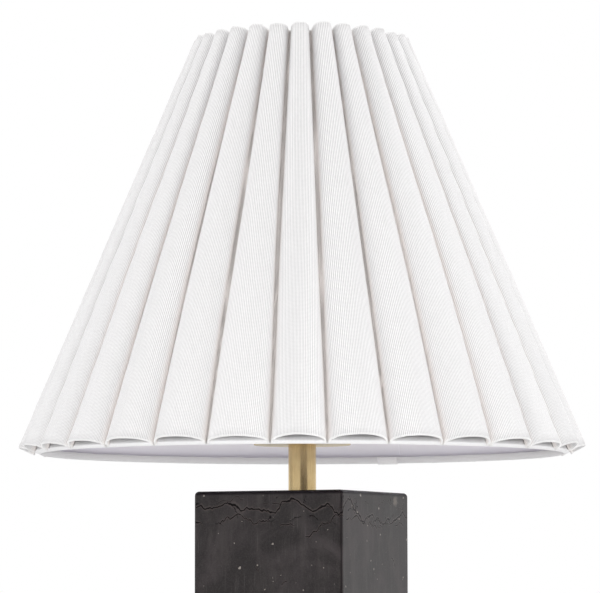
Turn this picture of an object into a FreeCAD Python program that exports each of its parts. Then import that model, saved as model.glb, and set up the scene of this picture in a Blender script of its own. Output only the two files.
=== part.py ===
import FreeCAD, Part
import math
import operator
import os

import Sketcher
from FreeCAD import Placement, Rotation, Vector

# Column table lamp: a square stone block on a felt pad, a brass neck with a socket and bulb, and a
# pleated cloth shade that hangs from a spider on a wire harp.
#
# The frame: the origin is the middle of the lamp's underside, +Z is up, -Y is the side of the switch
# knob and +Y is the side where the cord goes in. Lengths are millimetres and angles are degrees.

doc = FreeCAD.newDocument("ColumnTableLamp")

SIZES = (
    # Stone column, and what clamps it
    ("column_side", "116", "side of the square stone block"),
    ("column_height", "305", "height of the stone block"),
    ("column_corner_round", "2.5", "rounding of its upright edges"),
    ("column_rim_round", "3", "rounding of its top edges"),
    ("column_foot_round", "1.5", "rounding of its bottom edges"),
    ("column_bore_radius", "6", "hole drilled down through the block"),
    ("recess_radius", "40", "round recess in its underside"),
    ("recess_depth", "25", "depth of that recess"),
    ("felt_thickness", "2", "felt pad under the block"),
    ("felt_inset", "2", "how far the felt stays in from the block's faces"),
    ("felt_corner_round", "6", "rounding of the felt's corners"),
    ("rod_radius", "4.9", "outside of the threaded tube"),
    ("rod_bore_radius", "3.5", "inside of the threaded tube"),
    ("rod_stub", "3", "threaded tube that shows below its nut"),
    ("rod_clearance", "0.3", "play between the threaded tube and plain holes round it"),
    ("base_washer_radius", "19", "clamping washer in the recess"),
    ("base_washer_thickness", "2.5", "its thickness"),
    ("lock_washer_radius", "8.5", "lock washer under it"),
    ("lock_washer_thickness", "1", "its thickness"),
    ("base_nut_flats", "15.9", "width of the nut across its flats"),
    ("base_nut_height", "5", "its height"),
    ("inlet_height", "12", "centre of the cord hole above the block's underside"),
    ("inlet_radius", "5", "cord hole in the block's rear wall"),
    ("inlet_bore_radius", "3.5", "way through the cord bushing"),
    ("inlet_flange_radius", "8", "flange of the cord bushing"),
    ("inlet_flange_thickness", "2.5", "its thickness"),
    ("inlet_flange_round", "1.2", "rounding of its rim"),
    # Brass neck
    ("neck_radius", "10", "outside of the neck tube"),
    ("neck_wall", "1", "its wall"),
    ("neck_length", "34", "its length"),
    ("centring_height", "3", "height of each centring ring inside it"),
    ("disc_radius", "35", "brass disc on the neck tube"),
    ("disc_thickness", "1.6", "its thickness"),
    ("disc_round", "0.5", "rounding of its rim"),
    # Harp
    ("saddle_thickness", "2", "strip that the saddle is bent from"),
    ("saddle_width", "10", "width of that strip"),
    ("saddle_pad_radius", "11", "round pad in the middle of the strip"),
    ("saddle_bend", "2", "inside radius of its bends"),
    ("saddle_rise", "22", "height of its upright arms"),
    ("post_height", "10", "round posts above the upright arms"),
    ("post_root", "4", "how far the posts reach down into the arms"),
    ("saddle_nut_flats", "19", "width of the nut on the saddle across its flats"),
    ("saddle_nut_height", "3", "its height"),
    ("harp_wire_radius", "2", "wire of the harp"),
    ("harp_height", "270", "from the saddle's strip to the harp's crown"),
    ("harp_leg_reach", "28.5", "from the lamp's axis to each harp leg"),
    ("harp_leg_straight", "37", "straight foot of a leg, up to the corner of its bend"),
    ("harp_flare_rise", "58", "from that corner up to the widest corner"),
    ("harp_flare_reach", "58", "from the axis to the widest corner"),
    ("harp_shoulder_drop", "57.6", "from the crown down to the shoulder corner"),
    ("harp_shoulder_reach", "50", "from the axis to the shoulder corner"),
    ("harp_crown_reach", "24", "from the axis to the crown's corner"),
    ("harp_foot_bend", "60", "radius of the bend above a leg"),
    ("harp_flare_bend", "110", "radius of the bend at the widest corner"),
    ("harp_shoulder_bend", "150", "radius of the bend at the shoulder"),
    ("harp_crown_bend", "22", "radius of the bend at the crown"),
    ("harp_eye_radius", "7", "flat eye in the middle of the crown"),
    ("sleeve_fit", "0.1", "play between a locking sleeve and the harp's leg"),
    ("sleeve_wall", "1.5", "wall of a locking sleeve"),
    ("sleeve_length", "18", "its length"),
    ("sleeve_flare", "0.8", "how far its foot stands out"),
    ("sleeve_rest_gap", "0.3", "gap between a lowered sleeve and the saddle's arm"),
    # Swivelling stud and finial
    ("stud_neck_radius", "2.6", "neck that turns in the harp's eye"),
    ("swivel_fit", "0.06", "play round that neck"),
    ("swivel_gap", "0.15", "play above and below the harp's eye"),
    ("rivet_radius", "4.5", "riveted head under the harp's eye"),
    ("rivet_thickness", "1.5", "its thickness"),
    ("flange_radius", "8", "flange that the shade's hub rests on"),
    ("flange_thickness", "2.75", "its thickness"),
    ("stud_radius", "3.1", "thread above the flange"),
    ("stud_length", "12", "its length"),
    ("finial_fit", "0.08", "play between the finial and that thread"),
    ("finial_gap", "0.2", "play between the finial and the hub"),
    ("finial_base_radius", "6.5", "foot of the finial"),
    ("finial_base_height", "3", "its height"),
    ("finial_neck_radius", "4.6", "narrow neck of the finial"),
    ("finial_neck_height", "3", "its height"),
    ("finial_ball_radius", "7.5", "ball at the top of the finial"),
    # Socket
    ("cap_hub_radius", "7.2", "hub of the socket cap"),
    ("cap_hub_height", "8", "height of that hub"),
    ("cap_radius", "17.6", "outside of the cap's cup"),
    ("cap_wall", "0.8", "wall of the cap"),
    ("cap_rim_height", "24", "top of the cap above its foot"),
    ("set_screw_radius", "1.5", "screw that locks the cap"),
    ("set_screw_stand", "1.6", "how far its head stands out of the hub"),
    ("shell_wall", "0.6", "wall of the socket shell"),
    ("shell_foot", "19", "foot of the shell above the cap's foot"),
    ("shell_rim", "62", "rim of the shell above the cap's foot"),
    ("liner_wall", "0.8", "wall of the insulating sleeve"),
    ("liner_foot", "20", "foot of the insulating sleeve above the cap's foot"),
    ("liner_rim", "59", "its rim above the cap's foot"),
    ("housing_foot", "15", "foot of the socket body above the cap's foot"),
    ("housing_top", "38", "its top above the cap's foot"),
    ("terminal_flat_reach", "11.5", "from the axis to the flats that hold the terminals"),
    ("terminal_height", "26", "centre of the terminals above the cap's foot"),
    ("terminal_radius", "3.2", "head of a terminal screw"),
    ("terminal_thickness", "2.2", "its thickness"),
    ("switch_height", "32", "centre of the switch shaft above the cap's foot"),
    ("switch_shaft_radius", "2.4", "switch shaft"),
    ("switch_fit", "0.06", "play round that shaft"),
    ("switch_shaft_depth", "12", "how far the shaft reaches into the socket body"),
    ("switch_end_gap", "0.5", "play at the shaft's inner end"),
    ("switch_slot_play", "1.6", "play round the shaft in the shell's slot"),
    ("knob_stand_off", "3", "gap from the shell to the knob"),
    ("knob_radius", "6.5", "switch knob"),
    ("knob_length", "14", "its length"),
    ("knob_socket_depth", "9", "how far the shaft reaches into the knob"),
    ("knob_round", "1.5", "rounding of its end"),
    ("knob_flute_count", "12", "finger flutes round the knob"),
    ("knob_flute_radius", "1", "radius of a flute"),
    ("knob_flute_depth", "0.7", "depth of a flute"),
    ("thread_pitch", "3.63", "pitch of the bulb's thread"),
    ("thread_depth", "0.6", "depth of the bulb's thread"),
    ("thread_turns", "5", "ribs that the thread shows"),
    ("thread_play", "0.35", "play between the bulb's cap and the screw shell"),
    ("screw_shell_wall", "0.5", "wall of the screw shell"),
    ("centre_contact_radius", "4", "contact at the bottom of the socket"),
    ("centre_contact_height", "1.2", "its height"),
    # Bulb
    ("bulb_contact_gap", "0.3", "play between the two centre contacts"),
    ("bulb_cap_radius", "13.1", "crest of the bulb's thread"),
    ("bulb_cap_wall", "0.5", "wall of the bulb's cap"),
    ("bulb_contact_radius", "4.6", "contact under the bulb"),
    ("bulb_contact_height", "1.2", "its height"),
    ("bulb_insulator_height", "3.6", "insulator between that contact and the cap"),
    ("bulb_collar_radius", "14.6", "lower end of the bulb's body"),
    ("bulb_cap_neck", "3", "plain part of the cap above its thread"),
    ("bulb_body_height", "38", "height of the bulb's body"),
    ("bulb_radius", "30", "widest radius of the bulb"),
    ("bulb_shoulder_radius", "27.5", "upper end of the bulb's body"),
    ("bulb_dome_rise", "14", "from the body up to the widest part of the dome"),
    ("bulb_dome_wall", "1", "wall of the dome"),
    # Shade frame
    ("hub_radius", "11", "spider hub"),
    ("hub_thickness", "2", "its thickness"),
    ("hub_recess", "13.6", "from the shade's upper edge down to the hub's underside"),
    ("arm_radius", "1.75", "wire of a spider arm"),
    ("arm_count", "3", "spider arms"),
    ("arm_flat_reach", "24", "from the axis to the lower bend of an arm"),
    ("arm_inner_bend", "14", "radius of that bend"),
    ("ring_wire_radius", "1.5", "wire of the two rings"),
    # Lining and bindings
    ("shade_height", "295", "from the lining's lower edge to its upper edge"),
    ("shade_foot_radius", "192", "outside of the lining at its lower edge"),
    ("shade_top_radius", "67", "outside of the lining at its upper edge"),
    ("lining_thickness", "1", "lining"),
    ("tape_thickness", "0.5", "binding tape"),
    ("tape_outer_leg", "4", "tape on the outside of the lining"),
    ("tape_inner_leg", "5", "tape on the inside of the ring"),
    ("seam_azimuth", "184", "where the lining's seam is, turning from the front to the right"),
    ("seam_angle", "4.4", "how far the seam's overlap reaches round"),
    ("seam_thickness", "0.5", "thickness that the overlap adds"),
    ("lap_angle", "4.9", "how far the tape's lap reaches round"),
    # Pleated cover
    ("pleat_count", "30", "pleats round the shade"),
    ("pleat_depth", "11.5", "from the lining's tape to the crown of a pleat"),
    ("pleat_fullness", "2.3", "exponent of a crown's outline, where 2 is an ellipse"),
    ("pleat_groove_half", "0.4", "half the width of a groove's floor"),
    ("cloth_thickness", "1.1", "cover's cloth with its backing"),
    ("cover_drop", "1.5", "how far the cover reaches below the lining's lower edge"),
    # Shaping
    ("cut_margin", "1", "how far an open-ended cut runs past the face that it opens"),
)

OPERATIONS = {"+": operator.add, "-": operator.sub, "*": operator.mul, "/": operator.truediv}


class Size:
    """A size as a number, with the expression that works it out from the sheet."""

    def __init__(self, value, text):
        self.value = value
        self.text = text

    def __add__(self, other):
        return combined(self, "+", other)

    def __sub__(self, other):
        return combined(self, "-", other)

    def __mul__(self, other):
        return combined(self, "*", other)

    def __rmul__(self, other):
        return combined(other, "*", self)

    def __truediv__(self, other):
        return combined(self, "/", other)

    def __neg__(self):
        return combined(0, "-", self)


def sized(thing):
    """A plain number as a Size, and a Size as it is."""
    return thing if isinstance(thing, Size) else Size(float(thing), repr(thing))


def combined(left, sign, right):
    left, right = sized(left), sized(right)
    return Size(OPERATIONS[sign](left.value, right.value), f"({left.text} {sign} {right.text})")


def root(size):
    return Size(math.sqrt(size.value), f"sqrt({size.text})")


def cosine(angle):
    return Size(math.cos(math.radians(angle.value)), f"cos({angle.text})")


sheet = doc.addObject("Spreadsheet::Sheet", "Sizes")
s = {}
for row, (alias, number, meaning) in enumerate(SIZES, start=1):
    sheet.set(f"A{row}", meaning)
    sheet.set(f"B{row}", number)
    sheet.setAlias(f"B{row}", alias)
    s[alias] = Size(float(number), f"Sizes.{alias}")

# Worked-out sizes have a sheet of their own, so that the expressions that use them stay short.
derived = doc.addObject("Spreadsheet::Sheet", "Derived")
derived_rows = []


def derive(alias, size):
    """Names a size that is worked out from others, and gives it back under that name."""
    derived_rows.append(alias)
    row = len(derived_rows)
    derived.set(f"A{row}", alias.replace("_", " "))
    derived.set(f"B{row}", f"={size.text}")
    derived.setAlias(f"B{row}", alias)
    return Size(size.value, f"Derived.{alias}")


# Heights of the stack above the table, from the felt to the crown of the harp
column_foot = derive("column_foot", s["felt_thickness"] + 0)
column_top = derive("column_top", column_foot + s["column_height"])
recess_ceiling = derive("recess_ceiling", column_foot + s["recess_depth"])
neck_top = derive("neck_top", column_top + s["neck_length"])
saddle_foot = derive("saddle_foot", neck_top + s["disc_thickness"])
saddle_floor = derive("saddle_floor", saddle_foot + s["saddle_thickness"])
socket_foot = derive("socket_foot", saddle_floor + s["saddle_nut_height"])
post_foot = derive("post_foot", saddle_foot + s["saddle_rise"])
leg_foot = derive("leg_foot", post_foot + s["post_height"])
eye_top = derive("eye_top", saddle_floor + s["harp_height"])
eye_foot = derive("eye_foot", eye_top - 2 * s["harp_wire_radius"])
flange_foot = derive("flange_foot", eye_top + s["swivel_gap"])
hub_foot = derive("hub_foot", flange_foot + s["flange_thickness"])
hub_top = derive("hub_top", hub_foot + s["hub_thickness"])
shade_top = derive("shade_top", hub_foot + s["hub_recess"])
shade_foot = derive("shade_foot", shade_top - s["shade_height"])

# The slant of the shade: places on it are given along it, up from its lower edge, and out from it
shade_taper = derive("shade_taper", s["shade_foot_radius"] - s["shade_top_radius"])
slant = derive("slant", root(shade_taper * shade_taper + s["shade_height"] * s["shade_height"]))
slant_sine = derive("slant_sine", shade_taper / slant)
slant_cosine = derive("slant_cosine", s["shade_height"] / slant)

rod_hole = derive("rod_hole", s["rod_radius"] + s["rod_clearance"])
shell_radius = derive("shell_radius", s["cap_radius"] - s["cap_wall"])
liner_radius = derive("liner_radius", shell_radius - s["shell_wall"])
housing_radius = derive("housing_radius", liner_radius - s["liner_wall"])
doc.recompute()

pieces = []


def finished(obj, label):
    """Gives a sub-part its name and takes it into the list of what is written out."""
    obj.Label = label
    pieces.append(obj)
    return obj


def bind(obj, **bindings):
    """Ties properties to sizes. A double underscore in a name stands for a dot."""
    for name, size in bindings.items():
        obj.setExpression(name.replace("__", "."), sized(size).text)
    return obj


def raised(obj, height):
    """Sets a sub-part at a height above the table."""
    return bind(obj, Placement__Base__z=height)


def facing(obj, axis, angle):
    """Turns a sub-part about one of the frame's axes through its own origin."""
    obj.Placement = Placement(obj.Placement.Base, Rotation(axis, angle))
    return obj


def plane(body, role):
    return [(next(f for f in body.Origin.OriginFeatures if f.Role == role), "")]


def arc_between(start, end, radius, bulge):
    """The arc of a radius from start to end that bulges to the right (1) or left (-1) of the way."""
    chord = end - start
    right = Vector(chord.y, -chord.x, 0).normalize()
    depth = math.sqrt(max(radius**2 - (chord.Length / 2) ** 2, 0))
    centre = (start + end) / 2 - right * bulge * depth
    first, last = (start, end) if bulge > 0 else (end, start)
    angles = [math.atan2(p.y - centre.y, p.x - centre.x) for p in (first, last)]
    return Part.ArcOfCircle(Part.Circle(centre, Vector(0, 0, 1), radius), *angles)


def outline(body, role, corners, name="outline"):
    """A closed sketch on one of a body's own planes.

    A corner is (across, up), or (across, up, radius, bulge) where an arc leads to the next corner.
    Every corner and radius is tied to the sheet.
    """
    sketch = body.newObject("Sketcher::SketchObject", f"{body.Name}_{name}")
    sketch.AttachmentSupport = plane(body, role)
    sketch.MapMode = "FlatFace"
    spots = [Vector(sized(c[0]).value, sized(c[1]).value, 0) for c in corners]
    ends = []
    for index, corner in enumerate(corners):
        start, end = spots[index], spots[(index + 1) % len(spots)]
        if len(corner) == 2:
            sketch.addGeometry(Part.LineSegment(start, end), False)
            ends.append((1, 2))
        else:
            sketch.addGeometry(arc_between(start, end, corner[2].value, corner[3]), False)
            ends.append((1, 2) if corner[3] > 0 else (2, 1))
    for index, corner in enumerate(corners):
        following = (index + 1) % len(corners)
        joint = Sketcher.Constraint(
            "Coincident", index, ends[index][1], following, ends[following][0]
        )
        sketch.addConstraint(joint)
        for kind, size in (("DistanceX", corner[0]), ("DistanceY", corner[1])):
            size = sized(size)
            where = Sketcher.Constraint(kind, index, ends[index][0], size.value)
            sketch.setExpression(f"Constraints[{sketch.addConstraint(where)}]", size.text)
        if len(corner) == 4:
            bend = Sketcher.Constraint("Radius", index, corner[2].value)
            sketch.setExpression(f"Constraints[{sketch.addConstraint(bend)}]", corner[2].text)
    return sketch


def circles(body, role, centres, radius, name):
    """A sketch of equal circles on one of a body's own planes."""
    sketch = body.newObject("Sketcher::SketchObject", f"{body.Name}_{name}")
    sketch.AttachmentSupport = plane(body, role)
    sketch.MapMode = "FlatFace"
    for index, centre in enumerate(centres):
        across, up = sized(centre[0]), sized(centre[1])
        spot = Vector(across.value, up.value, 0)
        sketch.addGeometry(Part.Circle(spot, Vector(0, 0, 1), radius.value), False)
        for kind, size in (("DistanceX", across), ("DistanceY", up)):
            where = Sketcher.Constraint(kind, index, 3, size.value)
            sketch.setExpression(f"Constraints[{sketch.addConstraint(where)}]", size.text)
        round_it = Sketcher.Constraint("Radius", index, radius.value)
        sketch.setExpression(f"Constraints[{sketch.addConstraint(round_it)}]", radius.text)
    return sketch


def feature(body, kind, sketch, name, **settings):
    """A feature made from a sketch. What it is given becomes its properties."""
    made = body.newObject(f"PartDesign::{kind}", f"{body.Name}_{name}")
    made.Profile = sketch
    for setting, value in settings.items():
        if isinstance(value, Size):
            made.setExpression(setting, value.text)
        else:
            setattr(made, setting, value)
    return made


def upright(box):
    """Whether an edge with this bounding box stands upright."""
    return box.ZLength > box.XLength + box.YLength


def rounded(body, base, wanted, radius, name):
    """Rounds the edges of a feature whose bounding boxes pass a test."""
    doc.recompute()
    picked = [
        f"Edge{number}"
        for number, edge in enumerate(base.Shape.Edges, start=1)
        if wanted(edge.BoundBox)
    ]
    fillet = body.newObject("PartDesign::Fillet", f"{body.Name}_{name}")
    fillet.Base = (base, picked)
    fillet.setExpression("Radius", radius.text)
    return fillet


def turned(label, corners, height=0, angle=360):
    """A piece turned about its own upright axis from half its section."""
    body = doc.addObject("PartDesign::Body", label)
    sketch = outline(body, "XZ_Plane", corners)
    spin = feature(body, "Revolution", sketch, "turning", Angle=angle)
    spin.ReferenceAxis = (sketch, ["V_Axis"])
    raised(body, height)
    return finished(body, label)


def tube(outer, inner, foot, top):
    """Half the section of a plain tube or washer."""
    return [(inner, foot), (outer, foot), (outer, top), (inner, top)]


def hex_nut(label, flats, height, foot):
    """A hexagonal nut on the threaded tube."""
    body = doc.addObject("Part::Prism", f"{label}_body")
    body.Polygon = 6
    bind(body, Circumradius=flats / 2 / cosine(sized(30)), Height=height)
    hole = doc.addObject("Part::Cylinder", f"{label}_hole")
    bind(hole, Radius=s["rod_radius"], Height=height)
    nut = doc.addObject("Part::Cut", label)
    nut.Base = body
    nut.Tool = hole
    raised(nut, foot)
    return finished(nut, label)


def bent_wire(corners, bends, radius):
    """The solid of a round wire on straight runs that arcs join without a kink."""
    edges = []
    at = corners[0]
    for before, corner, after, bend in zip(corners, corners[1:], corners[2:], bends):
        into = (corner - before).normalize()
        out = (after - corner).normalize()
        turn = into.getAngle(out)
        reach = bend * math.tan(turn / 2)
        start = corner - into * reach
        end = corner + out * reach
        inward = (out - into).normalize()
        middle = corner + inward * bend * (1 / math.cos(turn / 2) - 1)
        edges.append(Part.LineSegment(at, start).toShape())
        edges.append(Part.Arc(start, middle, end).toShape())
        at = end
    edges.append(Part.LineSegment(at, corners[-1]).toShape())
    path = Part.Wire(edges)
    section = Part.Wire(Part.makeCircle(radius, corners[0], corners[1] - corners[0]))
    wire = path.makePipeShell([section], True, True)
    expected = math.pi * radius**2 * path.Length
    if abs(wire.Volume - expected) > 0.001 * expected:
        raise ValueError("a bent wire doesn't have its section's volume")
    return wire


# Felt pad
pad_side = derive("felt_side", s["column_side"] - 2 * s["felt_inset"])
felt = doc.addObject("PartDesign::Body", "felt_pad")
half = pad_side / 2
square = outline(felt, "XY_Plane", [(-half, -half), (half, -half), (half, half), (-half, half)])
slab = feature(felt, "Pad", square, "slab", Length=s["felt_thickness"])
rounded(felt, slab, upright, s["felt_corner_round"], "corners")
finished(felt, "felt_pad")

# Stone column: a block with eased edges, a hole down through it, a recess below and a cord hole behind
column = doc.addObject("PartDesign::Body", "stone_column")
half = s["column_side"] / 2
square = outline(column, "XY_Plane", [(-half, -half), (half, -half), (half, half), (-half, half)])
block = feature(column, "Pad", square, "block", Length=s["column_height"])
block = rounded(column, block, upright, s["column_corner_round"], "corners")
middle_height = s["column_height"].value / 2
block = rounded(column, block, lambda box: box.ZMin > middle_height, s["column_rim_round"], "rim")
block = rounded(column, block, lambda box: box.ZMax < middle_height, s["column_foot_round"], "foot")
bore = circles(column, "XY_Plane", [(0, 0)], s["column_bore_radius"], "bore_circle")
feature(column, "Pocket", bore, "bore", Length=s["column_height"], Reversed=True)
recess = circles(column, "XY_Plane", [(0, 0)], s["recess_radius"], "recess_circle")
feature(column, "Pocket", recess, "recess", Length=s["recess_depth"], Reversed=True)
inlet = circles(column, "XZ_Plane", [(0, s["inlet_height"])], s["inlet_radius"], "inlet_circle")
feature(column, "Pocket", inlet, "inlet", Length=half, Reversed=False)
raised(column, column_foot)
finished(column, "stone_column")

# Cord bushing in the rear wall, its flange outside and its barrel as long as the wall
barrel_end = derive("barrel_end", s["column_side"] / 2 - s["recess_radius"])
bushing = turned(
    "cord_bushing",
    [
        (s["inlet_bore_radius"], -barrel_end),
        (s["inlet_radius"], -barrel_end),
        (s["inlet_radius"], 0),
        (s["inlet_flange_radius"], 0),
        (
            s["inlet_flange_radius"],
            s["inlet_flange_thickness"] - s["inlet_flange_round"],
            s["inlet_flange_round"],
            1,
        ),
        (s["inlet_flange_radius"] - s["inlet_flange_round"], s["inlet_flange_thickness"]),
        (s["inlet_bore_radius"], s["inlet_flange_thickness"]),
    ],
    column_foot + s["inlet_height"],
)
facing(bushing, Vector(1, 0, 0), -90)
bind(bushing, Placement__Base__y=s["column_side"] / 2)

# Threaded tube and what clamps the block to it
washer_foot = derive("washer_foot", recess_ceiling - s["base_washer_thickness"])
turned(
    "base_washer",
    tube(s["base_washer_radius"], rod_hole, 0, s["base_washer_thickness"]),
    washer_foot,
)
lock_foot = derive("lock_foot", washer_foot - s["lock_washer_thickness"])
turned(
    "base_lock_washer",
    tube(s["lock_washer_radius"], rod_hole, 0, s["lock_washer_thickness"]),
    lock_foot,
)
base_nut_foot = derive("base_nut_foot", lock_foot - s["base_nut_height"])
hex_nut("base_nut", s["base_nut_flats"], s["base_nut_height"], base_nut_foot)
rod_foot = derive("rod_foot", base_nut_foot - s["rod_stub"])
rod_length = derive("rod_length", socket_foot + s["cap_hub_height"] - rod_foot)
turned("threaded_tube", tube(s["rod_radius"], s["rod_bore_radius"], 0, rod_length), rod_foot)

# Brass neck: a tube round the threaded tube, a centring ring at each end of it, and a disc on top
neck_inner = derive("neck_inner", s["neck_radius"] - s["neck_wall"])
turned("neck_tube", tube(s["neck_radius"], neck_inner, 0, s["neck_length"]), column_top)
centring_ring = tube(neck_inner, rod_hole, 0, s["centring_height"])
turned("lower_centring_ring", centring_ring, column_top)
turned("upper_centring_ring", centring_ring, neck_top - s["centring_height"])
turned(
    "neck_disc",
    [
        (rod_hole, 0),
        (s["disc_radius"] - s["disc_round"], 0, s["disc_round"], 1),
        (s["disc_radius"], s["disc_round"]),
        (s["disc_radius"], s["disc_thickness"] - s["disc_round"], s["disc_round"], 1),
        (s["disc_radius"] - s["disc_round"], s["disc_thickness"]),
        (rod_hole, s["disc_thickness"]),
    ],
    neck_top,
)

# Harp saddle: a strip bent up at both ends, with a round post on each arm
saddle = doc.addObject("PartDesign::Body", "harp_saddle")
arm_outer = s["harp_leg_reach"] + s["saddle_thickness"] / 2
arm_inner = s["harp_leg_reach"] - s["saddle_thickness"] / 2
outer_bend = s["saddle_bend"] + s["saddle_thickness"]
inner_bend = s["saddle_bend"]
strip = s["saddle_thickness"]
saddle_section = outline(
    saddle,
    "XZ_Plane",
    [
        (outer_bend - arm_outer, 0),
        (arm_outer - outer_bend, 0, outer_bend, 1),
        (arm_outer, outer_bend),
        (arm_outer, s["saddle_rise"]),
        (arm_inner, s["saddle_rise"]),
        (arm_inner, strip + inner_bend, inner_bend, -1),
        (arm_inner - inner_bend, strip),
        (inner_bend - arm_inner, strip, inner_bend, -1),
        (-arm_inner, strip + inner_bend),
        (-arm_inner, s["saddle_rise"]),
        (-arm_outer, s["saddle_rise"]),
        (-arm_outer, outer_bend, outer_bend, 1),
    ],
)
feature(saddle, "Pad", saddle_section, "strip", Length=s["saddle_width"], Midplane=True)
pad_circle = circles(saddle, "XY_Plane", [(0, 0)], s["saddle_pad_radius"], "pad_circle")
feature(saddle, "Pad", pad_circle, "pad", Length=s["saddle_thickness"])
rod_way = circles(saddle, "XY_Plane", [(0, 0)], rod_hole, "hole_circle")
feature(saddle, "Pocket", rod_way, "hole", Length=s["saddle_thickness"], Reversed=True)
post_spots = [(-s["harp_leg_reach"], 0), (s["harp_leg_reach"], 0)]
posts = circles(saddle, "XY_Plane", post_spots, s["harp_wire_radius"], "post_circles")
bind(posts, AttachmentOffset__Base__z=s["saddle_rise"] - s["post_root"])
feature(saddle, "Pad", posts, "posts", Length=s["post_root"] + s["post_height"])
raised(saddle, saddle_foot)
finished(saddle, "harp_saddle")
hex_nut("saddle_nut", s["saddle_nut_flats"], s["saddle_nut_height"], saddle_floor)

# Harp: one wire from post to post, with a flat eye in the middle of its crown
half_harp = [
    Vector(s["harp_leg_reach"].value, 0, leg_foot.value),
    Vector(s["harp_leg_reach"].value, 0, leg_foot.value + s["harp_leg_straight"].value),
    Vector(
        s["harp_flare_reach"].value,
        0,
        leg_foot.value + s["harp_leg_straight"].value + s["harp_flare_rise"].value,
    ),
    Vector(
        s["harp_shoulder_reach"].value, 0, eye_top.value - s["harp_shoulder_drop"].value
    ),
    Vector(s["harp_crown_reach"].value, 0, eye_top.value - s["harp_wire_radius"].value),
]
half_bends = [
    s[f"harp_{where}_bend"].value for where in ("foot", "flare", "shoulder", "crown")
]
other_half = [Vector(-corner.x, 0, corner.z) for corner in reversed(half_harp)]
harp_bow = doc.addObject("Part::Feature", "harp_bow")
harp_bow.Shape = bent_wire(
    half_harp + other_half, half_bends + half_bends[::-1], s["harp_wire_radius"].value
)
harp_eye = doc.addObject("Part::Cylinder", "harp_eye")
bind(harp_eye, Radius=s["harp_eye_radius"], Height=eye_top - eye_foot)
raised(harp_eye, eye_foot)
harp_solid = doc.addObject("Part::Fuse", "harp_solid")
harp_solid.Base = harp_bow
harp_solid.Tool = harp_eye
eye_hole = doc.addObject("Part::Cylinder", "harp_eye_hole")
bind(eye_hole, Radius=s["stud_neck_radius"] + s["swivel_fit"], Height=eye_top - eye_foot)
raised(eye_hole, eye_foot)
harp = doc.addObject("Part::Cut", "harp")
harp.Base = harp_solid
harp.Tool = eye_hole
finished(harp, "harp")

# Locking sleeves: each slides over the joint of a harp leg and its post, and rests on the saddle's arm
sleeve_bore = derive("sleeve_bore", s["harp_wire_radius"] + s["sleeve_fit"])
sleeve_outer = derive("sleeve_outer", sleeve_bore + s["sleeve_wall"])
sleeve_foot = sleeve_outer + s["sleeve_flare"]
for side, way in (("left", -1), ("right", 1)):
    sleeve = turned(
        f"harp_sleeve_{side}",
        [
            (sleeve_bore, 0),
            (sleeve_foot, 0),
            (sleeve_foot, s["sleeve_flare"]),
            (sleeve_outer, 2 * s["sleeve_flare"]),
            (sleeve_outer, s["sleeve_length"]),
            (sleeve_bore, s["sleeve_length"]),
        ],
        post_foot + s["sleeve_rest_gap"],
    )
    bind(sleeve, Placement__Base__x=way * s["harp_leg_reach"])

# Stud: a riveted head, a neck that turns in the harp's eye, a flange for the hub and a thread
rivet_top = s["rivet_thickness"]
stud_flange = rivet_top + eye_top - eye_foot + 2 * s["swivel_gap"]
flange_top = stud_flange + s["flange_thickness"]
turned(
    "harp_stud",
    [
        (0, 0),
        (s["rivet_radius"], 0),
        (s["rivet_radius"], rivet_top),
        (s["stud_neck_radius"], rivet_top),
        (s["stud_neck_radius"], stud_flange),
        (s["flange_radius"], stud_flange),
        (s["flange_radius"], flange_top),
        (s["stud_radius"], flange_top),
        (s["stud_radius"], flange_top + s["stud_length"]),
        (0, flange_top + s["stud_length"]),
    ],
    eye_foot - s["swivel_gap"] - s["rivet_thickness"],
)

# Finial: a ball on a waisted foot, drilled from below for the stud
finial_bore = s["stud_radius"] + s["finial_fit"]
waist_height = s["finial_base_height"] + s["finial_neck_height"]
ball_drop = derive(
    "ball_drop",
    root(
        s["finial_ball_radius"] * s["finial_ball_radius"]
        - s["finial_neck_radius"] * s["finial_neck_radius"]
    ),
)
ball_centre = derive("ball_centre", waist_height + ball_drop)
turned(
    "finial",
    [
        (finial_bore, 0),
        (s["finial_base_radius"], 0),
        (s["finial_base_radius"], s["finial_base_height"] / 2),
        (s["finial_neck_radius"], s["finial_base_height"]),
        (s["finial_neck_radius"], waist_height, s["finial_ball_radius"], 1),
        (s["finial_ball_radius"], ball_centre, s["finial_ball_radius"], 1),
        (0, ball_centre + s["finial_ball_radius"]),
        (0, s["stud_length"]),
        (finial_bore, s["stud_length"]),
    ],
    hub_top + s["finial_gap"],
)

# Socket cap: a threaded hub that opens into a cup, with a set screw through the hub
dome_radius = derive("dome_radius", s["cap_radius"] - s["cap_hub_radius"])
dome_height = derive("dome_height", s["cap_hub_height"] + dome_radius)
cup_radius = derive("cup_radius", dome_radius - s["cap_wall"])
cap = turned(
    "socket_cap",
    [
        (s["rod_radius"], 0),
        (s["cap_hub_radius"], 0),
        (s["cap_hub_radius"], s["cap_hub_height"], dome_radius, 1),
        (s["cap_radius"], dome_height),
        (s["cap_radius"], s["cap_rim_height"]),
        (shell_radius, s["cap_rim_height"]),
        (shell_radius, dome_height, cup_radius, -1),
        (s["cap_hub_radius"], s["cap_hub_height"] + s["cap_wall"]),
        (s["rod_radius"], s["cap_hub_height"] + s["cap_wall"]),
    ],
    socket_foot,
)
screw_hole = circles(
    cap, "YZ_Plane", [(0, s["cap_hub_height"] / 2)], s["set_screw_radius"], "screw_circle"
)
feature(cap, "Pocket", screw_hole, "screw_hole", Length=s["cap_hub_radius"], Reversed=True)
set_screw = turned(
    "cap_set_screw",
    [
        (0, s["rod_radius"]),
        (s["set_screw_radius"], s["rod_radius"]),
        (s["set_screw_radius"], s["cap_hub_radius"] + s["set_screw_stand"]),
        (0, s["cap_hub_radius"] + s["set_screw_stand"]),
    ],
    socket_foot + s["cap_hub_height"] / 2,
)
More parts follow.
